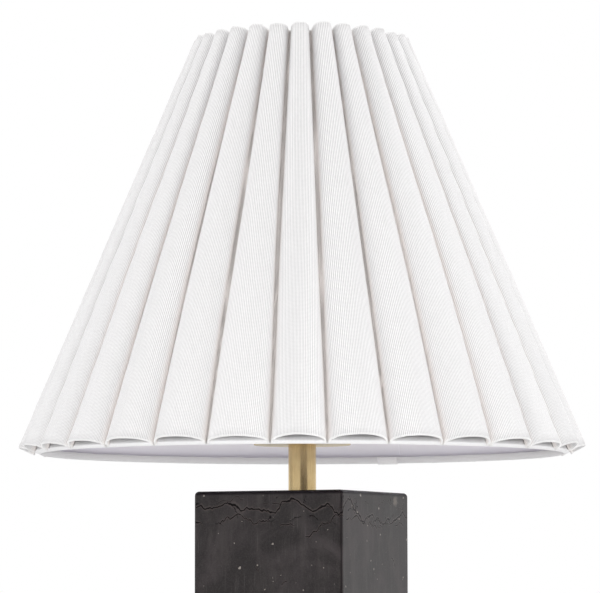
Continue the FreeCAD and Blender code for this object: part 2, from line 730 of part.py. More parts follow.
facing(set_screw, Vector(0, 1, 0), 90)


def slotted(body, foot):
    """Cuts the slot for the switch shaft, open at the foot, through the front of a socket's shell."""
    reach = s["switch_shaft_radius"] + s["switch_slot_play"]
    slot = outline(
        body,
        "XZ_Plane",
        [
            (reach, foot - s["cut_margin"]),
            (reach, s["switch_height"], reach, 1),
            (0, s["switch_height"] + reach, reach, 1),
            (-reach, s["switch_height"]),
            (-reach, foot - s["cut_margin"]),
        ],
        "slot_outline",
    )
    feature(body, "Pocket", slot, "slot", Length=s["cap_radius"], Reversed=True)


# Socket shell, its insulating sleeve and the body that holds the switch
shell = turned(
    "socket_shell",
    tube(shell_radius, liner_radius, s["shell_foot"], s["shell_rim"]),
    socket_foot,
)
slotted(shell, s["shell_foot"])
liner = turned(
    "insulating_sleeve",
    tube(liner_radius, housing_radius, s["liner_foot"], s["liner_rim"]),
    socket_foot,
)
slotted(liner, s["liner_foot"])

housing = turned(
    "socket_body",
    [
        (0, s["housing_foot"]),
        (housing_radius, s["housing_foot"]),
        (housing_radius, s["housing_top"]),
        (0, s["housing_top"]),
    ],
    socket_foot,
)
for side, way in (("left", -1), ("right", 1)):
    near, far = way * s["terminal_flat_reach"], way * (housing_radius + s["cut_margin"])
    corners = [(near, -s["cap_radius"]), (far, -s["cap_radius"])]
    corners += [(far, s["cap_radius"]), (near, s["cap_radius"])]
    flat = outline(housing, "XY_Plane", corners, f"{side}_flat_outline")
    bind(flat, AttachmentOffset__Base__z=s["housing_foot"])
    flat_top = s["terminal_height"] + s["terminal_radius"] + s["cut_margin"]
    flat_height = flat_top - s["housing_foot"]
    feature(housing, "Pocket", flat, f"{side}_flat", Length=flat_height, Reversed=True)
switch_seat = circles(
    housing,
    "XZ_Plane",
    [(0, s["switch_height"])],
    s["switch_shaft_radius"] + s["switch_fit"],
    "switch_circle",
)
seat_depth = s["switch_shaft_depth"] + s["switch_end_gap"]
bind(switch_seat, AttachmentOffset__Base__z=housing_radius - seat_depth)
feature(housing, "Pocket", switch_seat, "switch_seat", Length=seat_depth, Reversed=True)

terminals = doc.addObject("Part::MultiFuse", "terminal_screws")
terminal_heads = []
for side, way in (("left", -1), ("right", 1)):
    head = doc.addObject("Part::Cylinder", f"{side}_terminal")
    head.Placement.Rotation = Rotation(Vector(0, 1, 0), 90 * way)
    bind(
        head,
        Radius=s["terminal_radius"],
        Height=s["terminal_thickness"],
        Placement__Base__x=way * s["terminal_flat_reach"],
        Placement__Base__z=s["terminal_height"],
    )
    terminal_heads.append(head)
terminals.Shapes = terminal_heads
raised(terminals, socket_foot)
finished(terminals, "terminal_screws")

# Switch: a shaft that turns in the socket body, and the fluted knob on its outer end
knob_foot = derive("knob_foot", shell_radius + s["knob_stand_off"])
shaft_foot = derive("shaft_foot", housing_radius - s["switch_shaft_depth"])
shaft_tip = derive("shaft_tip", knob_foot + s["knob_socket_depth"])
shaft = turned(
    "switch_shaft",
    [
        (0, shaft_foot),
        (s["switch_shaft_radius"], shaft_foot),
        (s["switch_shaft_radius"], shaft_tip),
        (0, shaft_tip),
    ],
    socket_foot + s["switch_height"],
)
facing(shaft, Vector(1, 0, 0), 90)
knob_tip = knob_foot + s["knob_length"]
knob = turned(
    "switch_knob",
    [
        (s["switch_shaft_radius"], knob_foot),
        (s["knob_radius"], knob_foot),
        (s["knob_radius"], knob_tip - s["knob_round"], s["knob_round"], 1),
        (s["knob_radius"] - s["knob_round"], knob_tip),
        (0, knob_tip),
        (0, shaft_tip),
        (s["switch_shaft_radius"], shaft_tip),
    ],
    socket_foot + s["switch_height"],
)
flute_reach = s["knob_radius"] + s["knob_flute_radius"] - s["knob_flute_depth"]
flute_circle = circles(
    knob, "XY_Plane", [(flute_reach, 0)], s["knob_flute_radius"], "flute_circle"
)
flute = feature(knob, "Pocket", flute_circle, "flute", Length=knob_tip, Reversed=True)
flutes = knob.newObject("PartDesign::PolarPattern", "switch_knob_flutes")
flutes.Originals = [flute]
flutes.Axis = (flute_circle, ["N_Axis"])
flutes.Angle = 360
bind(flutes, Occurrences=s["knob_flute_count"])
knob.Tip = flutes
facing(knob, Vector(1, 0, 0), 90)


def ribbed(radius, foot, way):
    """Half a thread's section as ribs: crests and roots by turns, upwards (1) or downwards (-1)."""
    corners = []
    for step in range(2 * int(s["thread_turns"].value) + 1):
        depth = s["thread_depth"] if step % 2 == 0 else sized(0)
        corners.append((radius - depth, foot + step * s["thread_pitch"] / 2))
    return corners[::way]


# Screw shell and centre contact, which meet the bulb
root_radius = derive("screw_shell_bore", s["bulb_cap_radius"] + s["thread_play"])
screw_shell_outer = root_radius + s["screw_shell_wall"]
thread_foot = derive(
    "thread_foot",
    s["centre_contact_height"]
    + s["bulb_contact_gap"]
    + s["bulb_contact_height"]
    + s["bulb_insulator_height"],
)
turned(
    "screw_shell",
    [(root_radius - s["thread_depth"], 0), (screw_shell_outer - s["thread_depth"], 0)]
    + ribbed(screw_shell_outer, thread_foot, 1)
    + ribbed(root_radius, thread_foot, -1),
    socket_foot + s["housing_top"],
)
turned(
    "centre_contact",
    [
        (0, 0),
        (s["centre_contact_radius"], 0),
        (s["centre_contact_radius"], s["centre_contact_height"]),
        (0, s["centre_contact_height"]),
    ],
    socket_foot + s["housing_top"],
)

# Bulb: contact, insulator, ribbed cap, body and dome
bulb_foot = derive(
    "bulb_foot",
    socket_foot + s["housing_top"] + s["centre_contact_height"] + s["bulb_contact_gap"],
)
insulator_foot = s["bulb_contact_height"]
cap_foot = derive("bulb_cap_foot", insulator_foot + s["bulb_insulator_height"])
cap_top = derive(
    "bulb_cap_top", cap_foot + s["thread_turns"] * s["thread_pitch"] + s["bulb_cap_neck"]
)
cap_root = s["bulb_cap_radius"] - s["thread_depth"]
cap_bore = cap_root - s["bulb_cap_wall"]
turned(
    "bulb_contact",
    [
        (0, 0),
        (s["bulb_contact_radius"], 0),
        (s["bulb_contact_radius"], insulator_foot),
        (0, insulator_foot),
    ],
    bulb_foot,
)
turned(
    "bulb_insulator",
    [
        (0, insulator_foot),
        (s["bulb_contact_radius"], insulator_foot),
        (cap_root, cap_foot),
        (0, cap_foot),
    ],
    bulb_foot,
)
turned(
    "bulb_cap",
    ribbed(s["bulb_cap_radius"], cap_foot, 1)
    + [(cap_root, cap_top), (cap_bore, cap_top), (cap_bore, cap_foot)],
    bulb_foot,
)
body_top = derive("bulb_body_top", cap_top + s["bulb_body_height"])
turned(
    "bulb_body",
    [
        (0, cap_top),
        (s["bulb_collar_radius"], cap_top),
        (s["bulb_shoulder_radius"], body_top),
        (0, body_top),
    ],
    bulb_foot,
)
dome_widest = derive("bulb_dome_widest", body_top + s["bulb_dome_rise"])
dome_inner = s["bulb_radius"] - s["bulb_dome_wall"]
side_rise = s["bulb_dome_rise"]
side_run = s["bulb_radius"] - s["bulb_shoulder_radius"]
side_curve = derive(
    "bulb_side_curve", (side_rise * side_rise + side_run * side_run) / (2 * side_run)
)
turned(
    "bulb_dome",
    [
        (s["bulb_shoulder_radius"], body_top, side_curve, 1),
        (s["bulb_radius"], dome_widest, s["bulb_radius"], 1),
        (0, dome_widest + s["bulb_radius"]),
        (0, dome_widest + dome_inner, dome_inner, -1),
        (dome_inner, dome_widest, side_curve - s["bulb_dome_wall"], -1),
        (s["bulb_shoulder_radius"] - s["bulb_dome_wall"], body_top),
    ],
    bulb_foot,
)


# Shade
def on_slant(along, out):
    """A place on the shade's section, up its slant from the lower edge and out from the lining."""
    radius = s["shade_foot_radius"] - along * slant_sine + out * slant_cosine
    return radius, along * slant_cosine + out * slant_sine


# Spider hub, which rests on the stud's flange
turned("spider_hub", tube(s["hub_radius"], s["stud_radius"], 0, s["hub_thickness"]), hub_foot)

# Rings of round wire inside the lining's two edges
ring_depth = derive("ring_depth", s["lining_thickness"] + s["ring_wire_radius"])
ring_places = {
    "bottom_ring": on_slant(s["ring_wire_radius"], -ring_depth),
    "top_ring": on_slant(slant - s["ring_wire_radius"], -ring_depth),
}
rings = {}
for name, (radius, height) in ring_places.items():
    ring = doc.addObject("Part::Torus", name)
    bind(ring, Radius1=radius, Radius2=s["ring_wire_radius"])
    raised(ring, shade_foot + height)
    rings[name] = finished(ring, name)

# Spider arms: each runs level from the hub, bends up and ends in a saddle-shaped seat on the top ring
ring_radius, ring_height = (size.value for size in ring_places["top_ring"])
arm_level = hub_foot.value + s["hub_thickness"].value / 2
arm_corners = [
    Vector(0, 0, arm_level),
    Vector(s["arm_flat_reach"].value, 0, arm_level),
    Vector(ring_radius, 0, shade_foot.value + ring_height),
]
arm_shape = bent_wire(arm_corners, [s["arm_inner_bend"].value], s["arm_radius"].value)
hub_post = doc.addObject("Part::Cylinder", "arm_hub_end")
bind(hub_post, Radius=s["hub_radius"], Height=s["hub_thickness"] + 4 * s["arm_radius"])
raised(hub_post, hub_foot - 2 * s["arm_radius"])
for number in range(int(s["arm_count"].value)):
    wire = doc.addObject("Part::Feature", f"arm_wire_{number + 1}")
    wire.Shape = arm_shape
    turn = 90 + 360 * number / s["arm_count"].value
    wire.Placement = Placement(Vector(), Rotation(Vector(0, 0, 1), turn))
    off_hub = doc.addObject("Part::Cut", f"arm_off_hub_{number + 1}")
    off_hub.Base = wire
    off_hub.Tool = hub_post
    arm = doc.addObject("Part::Cut", f"spider_arm_{number + 1}")
    arm.Base = off_hub
    arm.Tool = rings["top_ring"]
    finished(arm, f"spider_arm_{number + 1}")

# Lining, cut square to its slant at both edges, and the overlap of its seam
thin = s["lining_thickness"]
turned(
    "shade_lining",
    [on_slant(0, -thin), on_slant(0, 0), on_slant(slant, 0), on_slant(slant, -thin)],
    shade_foot,
)
seam_start = s["tape_inner_leg"] + s["tape_thickness"]
seam_depth = thin + s["seam_thickness"]
seam = turned(
    "lining_seam",
    [
        on_slant(seam_start, -seam_depth),
        on_slant(seam_start, -thin),
        on_slant(slant - seam_start, -thin),
        on_slant(slant - seam_start, -seam_depth),
    ],
    shade_foot,
    s["seam_angle"],
)

# Binding tape: folded over each edge of the lining and round its ring
tape = s["tape_thickness"]
tape_depth = derive("tape_depth", thin + 2 * s["ring_wire_radius"])


def binding(label, edge, way):
    """A tape whose fold wraps an edge, with its legs reaching up (1) or down (-1) the slant."""
    corners = [
        on_slant(edge - way * tape, -(tape_depth + tape)),
        on_slant(edge - way * tape, tape),
        on_slant(edge + way * s["tape_outer_leg"], tape),
        on_slant(edge + way * s["tape_outer_leg"], 0),
        on_slant(edge, 0),
        on_slant(edge, -tape_depth),
        on_slant(edge + way * s["tape_inner_leg"], -tape_depth),
        on_slant(edge + way * s["tape_inner_leg"], -(tape_depth + tape)),
    ]
    return turned(label, corners, shade_foot)


binding("bottom_binding", sized(0), 1)
binding("top_binding", slant, -1)
lap_depth = tape_depth + tape
lap = turned(
    "binding_lap",
    [
        on_slant(-tape, -(lap_depth + tape)),
        on_slant(-tape, -lap_depth),
        on_slant(s["tape_inner_leg"], -lap_depth),
        on_slant(s["tape_inner_leg"], -(lap_depth + tape)),
    ],
    shade_foot,
    s["lap_angle"],
)
for overlap, angle in ((seam, s["seam_angle"]), (lap, s["lap_angle"])):
    start = s["seam_azimuth"] - 90 - angle / 2
    overlap.Placement = Placement(Vector(), Rotation(Vector(0, 0, 1), start.value))
    raised(overlap, shade_foot)

# Pleated cover: one cloth folded into rounded pleats that run up the slant, narrower at the top.
# A pleat's section is given as (across, out): across from its crown's line and out from the lining.
pleats = int(s["pleat_count"].value)
pleat_angle = 2 * math.pi / pleats
cloth = s["cloth_thickness"].value
cloth_floor = s["tape_thickness"].value


def crown(half_width, floor, top):
    """Seven places over a crown, from foot to foot, on an outline a little squarer than an ellipse."""
    power = 2 / s["pleat_fullness"].value
    rising = []
    for turn in (0, 22.5, 45, 90):
        across = half_width * abs(math.cos(math.radians(turn))) ** power
        out = floor + (top - floor) * math.sin(math.radians(turn)) ** power
        rising.append((-across, out))
    return rising + [(-across, out) for across, out in reversed(rising[:-1])]


def pleat_spot(along, radius, angle, place):
    """A place of a pleat's section in the frame, for the pleat whose crown is at an angle."""
    across, out = place
    turn = angle + across / radius
    reach = radius + out * slant_cosine.value
    height = along * slant_cosine.value + out * slant_sine.value
    return Vector(reach * math.cos(turn), reach * math.sin(turn), height)


def cover_edges(along, inside):
    """The cover's outer or inner section, cut square to the slant at a place on it, as its edges."""
    radius = s["shade_foot_radius"].value - along * slant_sine.value
    half_width = radius * pleat_angle / 2 - s["pleat_groove_half"].value
    top = cloth_floor + s["pleat_depth"].value
    if inside:
        places = crown(half_width - cloth, cloth_floor, top - cloth)
    else:
        places = crown(half_width, cloth_floor + cloth, top)
    edges = []
    for number in range(pleats):
        angle = number * pleat_angle - math.pi / 2
        spots = [pleat_spot(along, radius, angle, place) for place in places]
        for first in (0, 2, 4):
            edges.append(Part.Arc(*spots[first : first + 3]).toShape())
        next_foot = pleat_spot(along, radius, angle + pleat_angle, places[0])
        edges.append(Part.LineSegment(spots[-1], next_foot).toShape())
    return edges


cover_foot = -s["cover_drop"].value
outer_foot, outer_top = cover_edges(cover_foot, False), cover_edges(slant.value, False)
inner_foot, inner_top = cover_edges(cover_foot, True), cover_edges(slant.value, True)
walls = (
    (outer_foot, outer_top),
    (outer_top, inner_top),
    (inner_top, inner_foot),
    (inner_foot, outer_foot),
)
faces = []
for wall in walls:
    for edge, facing_edge in zip(*wall):
        faces.append(Part.makeRuledSurface(edge, facing_edge))
cover_skin = Part.Shell(Part.makeCompound(faces).Faces)
cover_skin.sewShape()
cover_solid = Part.Solid(cover_skin)
seam_gap = 0.001
cover_solid.fix(seam_gap, seam_gap, seam_gap)
if cover_solid.Volume < 0:
    cover_solid.reverse()
cover = doc.addObject("Part::Feature", "pleated_cover")
cover.Shape = cover_solid
cover.Placement = Placement(Vector(0, 0, shade_foot.value), Rotation())
finished(cover, "pleated_cover")

doc.recompute()

# Every object has to be sound before anything is written
for obj in doc.Objects:
    if "Invalid" in obj.State or "Error" in obj.State:
        raise RuntimeError(f"{obj.Label} failed: {obj.State}")
for obj in pieces:
    if obj.Shape.isNull() or not obj.Shape.isValid():
        raise RuntimeError(f"{obj.Label} has no valid shape")

os.makedirs("parts", exist_ok=True)
for obj in pieces:
    obj.Shape.exportStep(f"parts/{obj.Label}.step")
    print(f"{obj.Label}: {len(obj.Shape.Solids)} solid, {obj.Shape.Volume:.0f} mm3")
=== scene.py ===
import math

import bmesh
import bpy
import mathutils
from mathutils import Matrix, Vector


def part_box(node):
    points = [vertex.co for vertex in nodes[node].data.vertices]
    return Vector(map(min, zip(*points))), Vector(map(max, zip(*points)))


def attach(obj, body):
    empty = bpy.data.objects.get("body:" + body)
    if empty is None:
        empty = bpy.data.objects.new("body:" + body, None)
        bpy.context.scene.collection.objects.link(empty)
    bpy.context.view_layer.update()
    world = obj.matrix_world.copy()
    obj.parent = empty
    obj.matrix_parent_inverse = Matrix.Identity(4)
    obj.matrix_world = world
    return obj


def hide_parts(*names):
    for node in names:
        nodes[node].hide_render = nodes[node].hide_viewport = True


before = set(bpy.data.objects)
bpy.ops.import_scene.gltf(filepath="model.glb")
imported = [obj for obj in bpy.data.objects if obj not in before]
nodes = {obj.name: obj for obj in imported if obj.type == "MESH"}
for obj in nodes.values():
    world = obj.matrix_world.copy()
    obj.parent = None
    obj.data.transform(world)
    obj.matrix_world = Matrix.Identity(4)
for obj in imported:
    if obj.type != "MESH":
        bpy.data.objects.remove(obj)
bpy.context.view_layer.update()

# Camera. The photograph is taken with a long lens from below the shade's foot, turned to the right
# of the switch's side, so the shade's lower rim shows from underneath. The lamp's axis falls two
# pixels right of the picture's middle, and the picture is rolled by a hair.
IMAGE_WIDTH_PX = 600
FOCAL_PX = 3290
EYE_DISTANCE = 2.371
EYE_BELOW_COLUMN_TOP = 0.0663
EYE_AZIMUTH = math.radians(25.4)
EYE_PITCH = math.radians(5.01)
AXIS_OFFSET = math.atan(2 / FOCAL_PX)
PICTURE_ROLL = math.radians(-0.08)

column_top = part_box("stone_column")[1].z
camera_data = bpy.data.cameras.new("camera")
camera_data.sensor_width = 36
camera_data.lens = FOCAL_PX / IMAGE_WIDTH_PX * camera_data.sensor_width
camera = bpy.data.objects.new("camera", camera_data)
bpy.context.scene.collection.objects.link(camera)
bpy.context.scene.camera = camera
bpy.context.scene.view_settings.view_transform = "Standard"
eye = Vector((
    EYE_DISTANCE * math.sin(EYE_AZIMUTH),
    -EYE_DISTANCE * math.cos(EYE_AZIMUTH),
    column_top - EYE_BELOW_COLUMN_TOP,
))
turned_to_lamp = Matrix.Rotation(EYE_AZIMUTH + AXIS_OFFSET, 4, "Z")
tilted_up = Matrix.Rotation(math.pi / 2 + EYE_PITCH, 4, "X")
rolled = Matrix.Rotation(PICTURE_ROLL, 4, "Z")
camera.matrix_world = Matrix.Translation(eye) @ turned_to_lamp @ tilted_up @ rolled


# Studio. A pale floor and a white surround, which the camera, metal and glass see as plain white.
# Broad lamps at both sides model the pleats, a high and a low one even out the shade and fill its
# inside, and two grey screens that only reflections see give the brass its dark streak and edge.
def add(tree, kind, inputs=(), **settings):
    """Adds a node. Its inputs, by name or number, are plain values or other nodes' sockets."""
    made = tree.nodes.new(kind)
    for setting, value in settings.items():
        setattr(made, setting, value)
    for name, value in dict(inputs).items():
        if isinstance(value, bpy.types.NodeSocket):
            tree.links.new(value, made.inputs[name])
        else:
            made.inputs[name].default_value = value
    return made


def arithmetic(tree, operation, *values):
    """A Math node's result."""
    made = add(tree, "ShaderNodeMath", dict(enumerate(values)), operation=operation)
    return made.outputs[0]


def seen_plainly(tree):
    """1 where the camera, a reflection or a view through glass looks at the surround, else 0."""
    path = add(tree, "ShaderNodeLightPath")
    either = arithmetic(
        tree, "MAXIMUM", path.outputs["Is Camera Ray"], path.outputs["Is Glossy Ray"]
    )
    return arithmetic(tree, "MAXIMUM", either, path.outputs["Is Transmission Ray"])


SURROUND_LIGHT = 0.75
world = bpy.data.worlds.new("white_surround")
world.use_nodes = True
bpy.context.scene.world = world
tree = world.node_tree
tree.nodes.clear()
strength = add(
    tree,
    "ShaderNodeMapRange",
    {"Value": seen_plainly(tree), "To Min": SURROUND_LIGHT, "To Max": 1.0},
)
surround = add(
    tree,
    "ShaderNodeBackground",
    {"Color": (1.0, 1.0, 1.0, 1), "Strength": strength.outputs["Result"]},
)
add(tree, "ShaderNodeOutputWorld", {"Surface": surround.outputs[0]})


def stage_plane(name, size, place, turn=(0, 0, 0)):
    """A flat sheet of the studio, which isn't part of the lamp."""
    mesh = bpy.data.meshes.new(name)
    across, along = size[0] / 2, size[1] / 2
    corners = [(-across, -along, 0), (across, -along, 0), (across, along, 0), (-across, along, 0)]
    mesh.from_pydata(corners, [], [(0, 1, 2, 3)])
    sheet = bpy.data.objects.new(name, mesh)
    sheet.location = place
    sheet.rotation_euler = turn
    bpy.context.scene.collection.objects.link(sheet)
    return sheet


def new_material(name):
    """An empty node material and its tree."""
    material = bpy.data.materials.new(name)
    material.use_nodes = True
    material.node_tree.nodes.clear()
    return material, material.node_tree


FLOOR_SIDE = 9.0
FLOOR_COLOUR = (0.86, 0.86, 0.86, 1)
floor = stage_plane("floor", (FLOOR_SIDE, FLOOR_SIDE), (0, 0, 0))
material, tree = new_material("pale_floor")
floor_paint = add(
    tree, "ShaderNodeBsdfPrincipled", {"Base Color": FLOOR_COLOUR, "Roughness": 0.9}
)
add(tree, "ShaderNodeOutputMaterial", {"Surface": floor_paint.outputs[0]})
floor.data.materials.append(material)


LAMP_MIDDLE = Vector((0, 0, 0.45))


def softbox(name, azimuth, height, distance, size, power):
    """A square soft light that looks at the middle of the lamp and doesn't show in it."""
    data = bpy.data.lights.new(name, "AREA")
    data.shape = "SQUARE"
    data.size = size
    data.energy = power
    box = bpy.data.objects.new(name, data)
    box.location = (
        distance * math.sin(math.radians(azimuth)),
        -distance * math.cos(math.radians(azimuth)),
        height,
    )
    aim = LAMP_MIDDLE - box.location
    box.rotation_euler = aim.to_track_quat("-Z", "Y").to_euler()
    box.visible_glossy = False
    bpy.context.scene.collection.objects.link(box)


softbox("left_softbox", -60, 1.2, 2.4, 1.6, 22)
softbox("right_softbox", 100, 1.2, 2.2, 1.6, 18)
softbox("rear_softbox", 155, 1.2, 2.2, 1.6, 10)
softbox("top_softbox", 25, 2.6, 1.0, 1.6, 15)
softbox("low_softbox", 25, 0.05, 0.65, 0.5, 1.7)


SCREEN_HEIGHT = 2.4
SCREEN_DISTANCE = 2.0
SCREEN_MIDDLE = 0.9


def grey_screen(name, azimuth, width, shade):
    """A standing screen that only reflections see."""
    turn = math.radians(azimuth)
    screen = stage_plane(
        name,
        (width, SCREEN_HEIGHT),
        (SCREEN_DISTANCE * math.sin(turn), -SCREEN_DISTANCE * math.cos(turn), SCREEN_MIDDLE),
        (math.pi / 2, 0, turn),
    )
    screen.visible_camera = False
    screen.visible_shadow = False
    screen.visible_diffuse = False
    material, tree = new_material(name + "_cloth")
    cloth = add(
        tree,
        "ShaderNodeBsdfPrincipled",
        {"Base Color": (shade, shade, shade, 1), "Roughness": 1.0},
    )
    add(tree, "ShaderNodeOutputMaterial", {"Surface": cloth.outputs[0]})
    screen.data.materials.append(material)


grey_screen("front_screen", 38, 2.2, 0.12)
grey_screen("rear_screen", -84, 1.6, 0.6)


# Felt pad. A square of black wool felt glued under the block, a little smaller than it, so the
# stone doesn't scratch a table. Its fibres lie every way and lighten the face in small tufts.
def dress(node, material):
    """Gives a CAD node a material, in place of the one it was packed with."""
    for material_slot in nodes[node].material_slots:
        material_slot.material = material


def object_coordinates(tree, scale=(1, 1, 1), rotation=(0, 0, 0)):
    """The piece's own coordinates, in metres, through a Mapping node."""
    place = add(tree, "ShaderNodeTexCoord")
    mapping = add(
        tree,
        "ShaderNodeMapping",
        {"Vector": place.outputs["Object"], "Scale": scale, "Rotation": rotation},
    )
    return mapping.outputs["Vector"]


def noise(tree, where, scale, detail=2.0, roughness=0.5, distortion=0.0):
    """A noise between 0 and 1, with features 1 / scale metres across."""
    made = add(
        tree,
        "ShaderNodeTexNoise",
        {
            "Vector": where,
            "Scale": scale,
            "Detail": detail,
            "Roughness": roughness,
            "Distortion": distortion,
        },
    )
    return made.outputs["Fac"]


def between(tree, value, low, high, to_low=0.0, to_high=1.0):
    """A value's place between two limits, spread over another range and held inside it."""
    made = add(
        tree,
        "ShaderNodeMapRange",
        {
            "Value": value,
            "From Min": low,
            "From Max": high,
            "To Min": to_low,
            "To Max": to_high,
        },
    )
    return made.outputs["Result"]


def blended(tree, factor, first, second):
    """The mix of two colours. The factor picks the second where it is 1."""
    made = tree.nodes.new("ShaderNodeMix")
    made.data_type = "RGBA"
    made.clamp_factor = True
    for socket, value in ((0, factor), (6, first), (7, second)):
        if isinstance(value, bpy.types.NodeSocket):
            tree.links.new(value, made.inputs[socket])
        else:
            made.inputs[socket].default_value = value
    return made.outputs[2]


def bumped(tree, height, distance, strength=1.0):
    """The normal of a surface that a height raises by a distance in metres."""
    inputs = {"Height": height, "Distance": distance, "Strength": strength}
    return add(tree, "ShaderNodeBump", inputs).outputs["Normal"]


def finish_material(tree, **sockets):
    """The shader of a surface, with underscores for the spaces in its sockets' names."""
    shader = add(
        tree,
        "ShaderNodeBsdfPrincipled",
        {name.replace("_", " "): value for name, value in sockets.items()},
    )
    add(tree, "ShaderNodeOutputMaterial", {"Surface": shader.outputs[0]})


def new_piece(name, shape, material):
    """A piece of the lamp made from a bmesh."""
    mesh = bpy.data.meshes.new(name)
    shape.to_mesh(mesh)
    shape.free()
    mesh.materials.append(material)
    piece = bpy.data.objects.new(name, mesh)
    bpy.context.scene.collection.objects.link(piece)
    return piece


material, tree = new_material("black_felt")
where = object_coordinates(tree)
tufts = noise(tree, where, 900, 4, 0.7)
felt_colour = blended(tree, tufts, (0.008, 0.008, 0.009, 1), (0.035, 0.034, 0.036, 1))
finish_material(
    tree,
    Base_Color=felt_colour,
    Roughness=0.95,
    Sheen_Weight=0.3,
    Normal=bumped(tree, tufts, 0.0006),
)
felt_low, felt_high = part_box("felt_pad")
felt_half = felt_high.x
FELT_CORNER = 0.006
FELT_STEPS = 40
FELT_FIBRE = 0.00015
felt = bmesh.new()
rings = []
for share, drawn_in in ((0.0, 0.0004), (0.15, 0.0001), (0.5, 0.0), (0.85, 0.0001), (1.0, 0.0004)):
    ring = []
    for step in range(4 * FELT_STEPS):
        side, place = divmod(step, FELT_STEPS)
        turn = math.radians(90 * place / (FELT_STEPS - 1))
        fibre = FELT_FIBRE * mathutils.noise.noise(Vector((step * 0.9, share * 7, 2.5)))
        reach = FELT_CORNER - drawn_in - abs(fibre)
        spot = Vector((reach * math.cos(turn), reach * math.sin(turn), 0))
        spot += Vector((felt_half - FELT_CORNER, felt_half - FELT_CORNER, 0))
        spot = Matrix.Rotation(side * math.pi / 2, 3, "Z") @ spot
        spot.z = felt_low.z + share * (felt_high.z - felt_low.z)
        ring.append(felt.verts.new(spot))
    rings.append(ring)
for low, high in zip(rings, rings[1:]):
    for step in range(len(low)):
        following = (step + 1) % len(low)
        felt.faces.new((low[step], low[following], high[following], high[step]))
felt.faces.new(list(reversed(rings[0])))
felt.faces.new(rings[-1])
felt_sole = new_piece("felt_sole", felt, material)
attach(felt_sole, "base")
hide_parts("felt_pad")


# Stone column. A block of honed black limestone, drilled down its length, with its edges eased by
# hand. Fine black seams wander round it below the top, with pale fossil flecks and a few cloudy
# grey patches.
def new_group(name, inputs, outputs, tree_type="ShaderNodeTree"):
    """A node group with named sockets, and its input and output nodes."""
    group = bpy.data.node_groups.new(name, tree_type)
    for direction, sockets in (("INPUT", inputs), ("OUTPUT", outputs)):
        for label, socket_type, default in sockets:
            socket = group.interface.new_socket(
                label, in_out=direction, socket_type=socket_type
            )
            if default is not None:
                socket.default_value = default
    return group, add(group, "NodeGroupInput"), add(group, "NodeGroupOutput")


def placed(tree, group, **inputs):
    """A group placed in a material, with its own values."""
    made = tree.nodes.new("ShaderNodeGroup")
    made.node_tree = group
    for name, value in inputs.items():
        socket = made.inputs[name.replace("_", " ")]
        if isinstance(value, bpy.types.NodeSocket):
            tree.links.new(value, socket)
        else:
            socket.default_value = value
    return made


def vector_arithmetic(tree, operation, *values):
    """A Vector Math node's result, which is one number for a distance or a length."""
    made = add(tree, "ShaderNodeVectorMath", dict(enumerate(values)), operation=operation)
    return made.outputs["Value" if operation in ("DISTANCE", "LENGTH") else "Vector"]


FLOAT, VECTOR = "NodeSocketFloat", "NodeSocketVector"

# A seam is where the height above a level equals a noise that wanders round the block. Its rim is a
# painted highlight: paler stone colour along it.
seam_group, given, out = new_group(
    "wandering_seam",
    [
        ("Place", VECTOR, None),
        ("Level", FLOAT, 0.0),
        ("Wander", FLOAT, 0.01),
        ("Width", FLOAT, 0.0004),
        ("Seed", FLOAT, 0.0),
        ("Cover", FLOAT, 0.5),
    ],
    [("Seam", FLOAT, None), ("Rim Highlight", FLOAT, None)],
)
parts = add(seam_group, "ShaderNodeSeparateXYZ", {"Vector": given.outputs["Place"]})
around = add(
    seam_group,
    "ShaderNodeCombineXYZ",
    {"X": parts.outputs["X"], "Y": parts.outputs["Y"], "Z": given.outputs["Seed"]},
)


def seam_course(where):
    """How far a seam strays from its level, at a place round the block."""
    stray = noise(seam_group, where, 30, 4, 0.55, 0.4)
    stray = arithmetic(seam_group, "SUBTRACT", stray, 0.5)
    return arithmetic(seam_group, "MULTIPLY", stray, given.outputs["Wander"])


SEAM_STEP = 0.0005
course = seam_course(around.outputs[0])
steepness = 1.0
for step in ((SEAM_STEP, 0, 0), (0, SEAM_STEP, 0)):
    aside = vector_arithmetic(seam_group, "ADD", around.outputs[0], step)
    change = arithmetic(seam_group, "SUBTRACT", seam_course(aside), course)
    slope = arithmetic(seam_group, "DIVIDE", change, SEAM_STEP)
    steepness = arithmetic(seam_group, "MULTIPLY_ADD", slope, slope, steepness)
level = arithmetic(seam_group, "ADD", given.outputs["Level"], course)
off = arithmetic(seam_group, "SUBTRACT", parts.outputs["Z"], level)
off = arithmetic(seam_group, "ABSOLUTE", off)
uneven = noise(seam_group, given.outputs["Place"], 160, 3, 0.6)
width = arithmetic(seam_group, "MULTIPLY", given.outputs["Width"], uneven)
width = arithmetic(seam_group, "MULTIPLY", width, arithmetic(seam_group, "SQRT", steepness))
near = arithmetic(seam_group, "DIVIDE", off, width)
line = between(seam_group, near, 1.3, 0.7)
shifted = vector_arithmetic(seam_group, "ADD", given.outputs["Place"], around.outputs[0])
gaps = noise(seam_group, shifted, 26, 2, 0.5)
shown = arithmetic(seam_group, "GREATER_THAN", given.outputs["Cover"], gaps)
line = arithmetic(seam_group, "MULTIPLY", line, shown)
rim_highlight = arithmetic(seam_group, "MULTIPLY", between(seam_group, near, 3.6, 1.8), shown)
seam_group.links.new(line, out.inputs["Seam"])
seam_group.links.new(rim_highlight, out.inputs["Rim Highlight"])


def strayed(tree, where, scale, detail, amount):
    """Places that a noise moves about, so what is drawn by them has ragged edges."""
    ragged = add(tree, "ShaderNodeTexNoise", {"Vector": where, "Scale": scale, "Detail": detail})
    amounts = (amount, amount, amount)
    return vector_arithmetic(tree, "MULTIPLY_ADD", ragged.outputs["Color"], amounts, where)


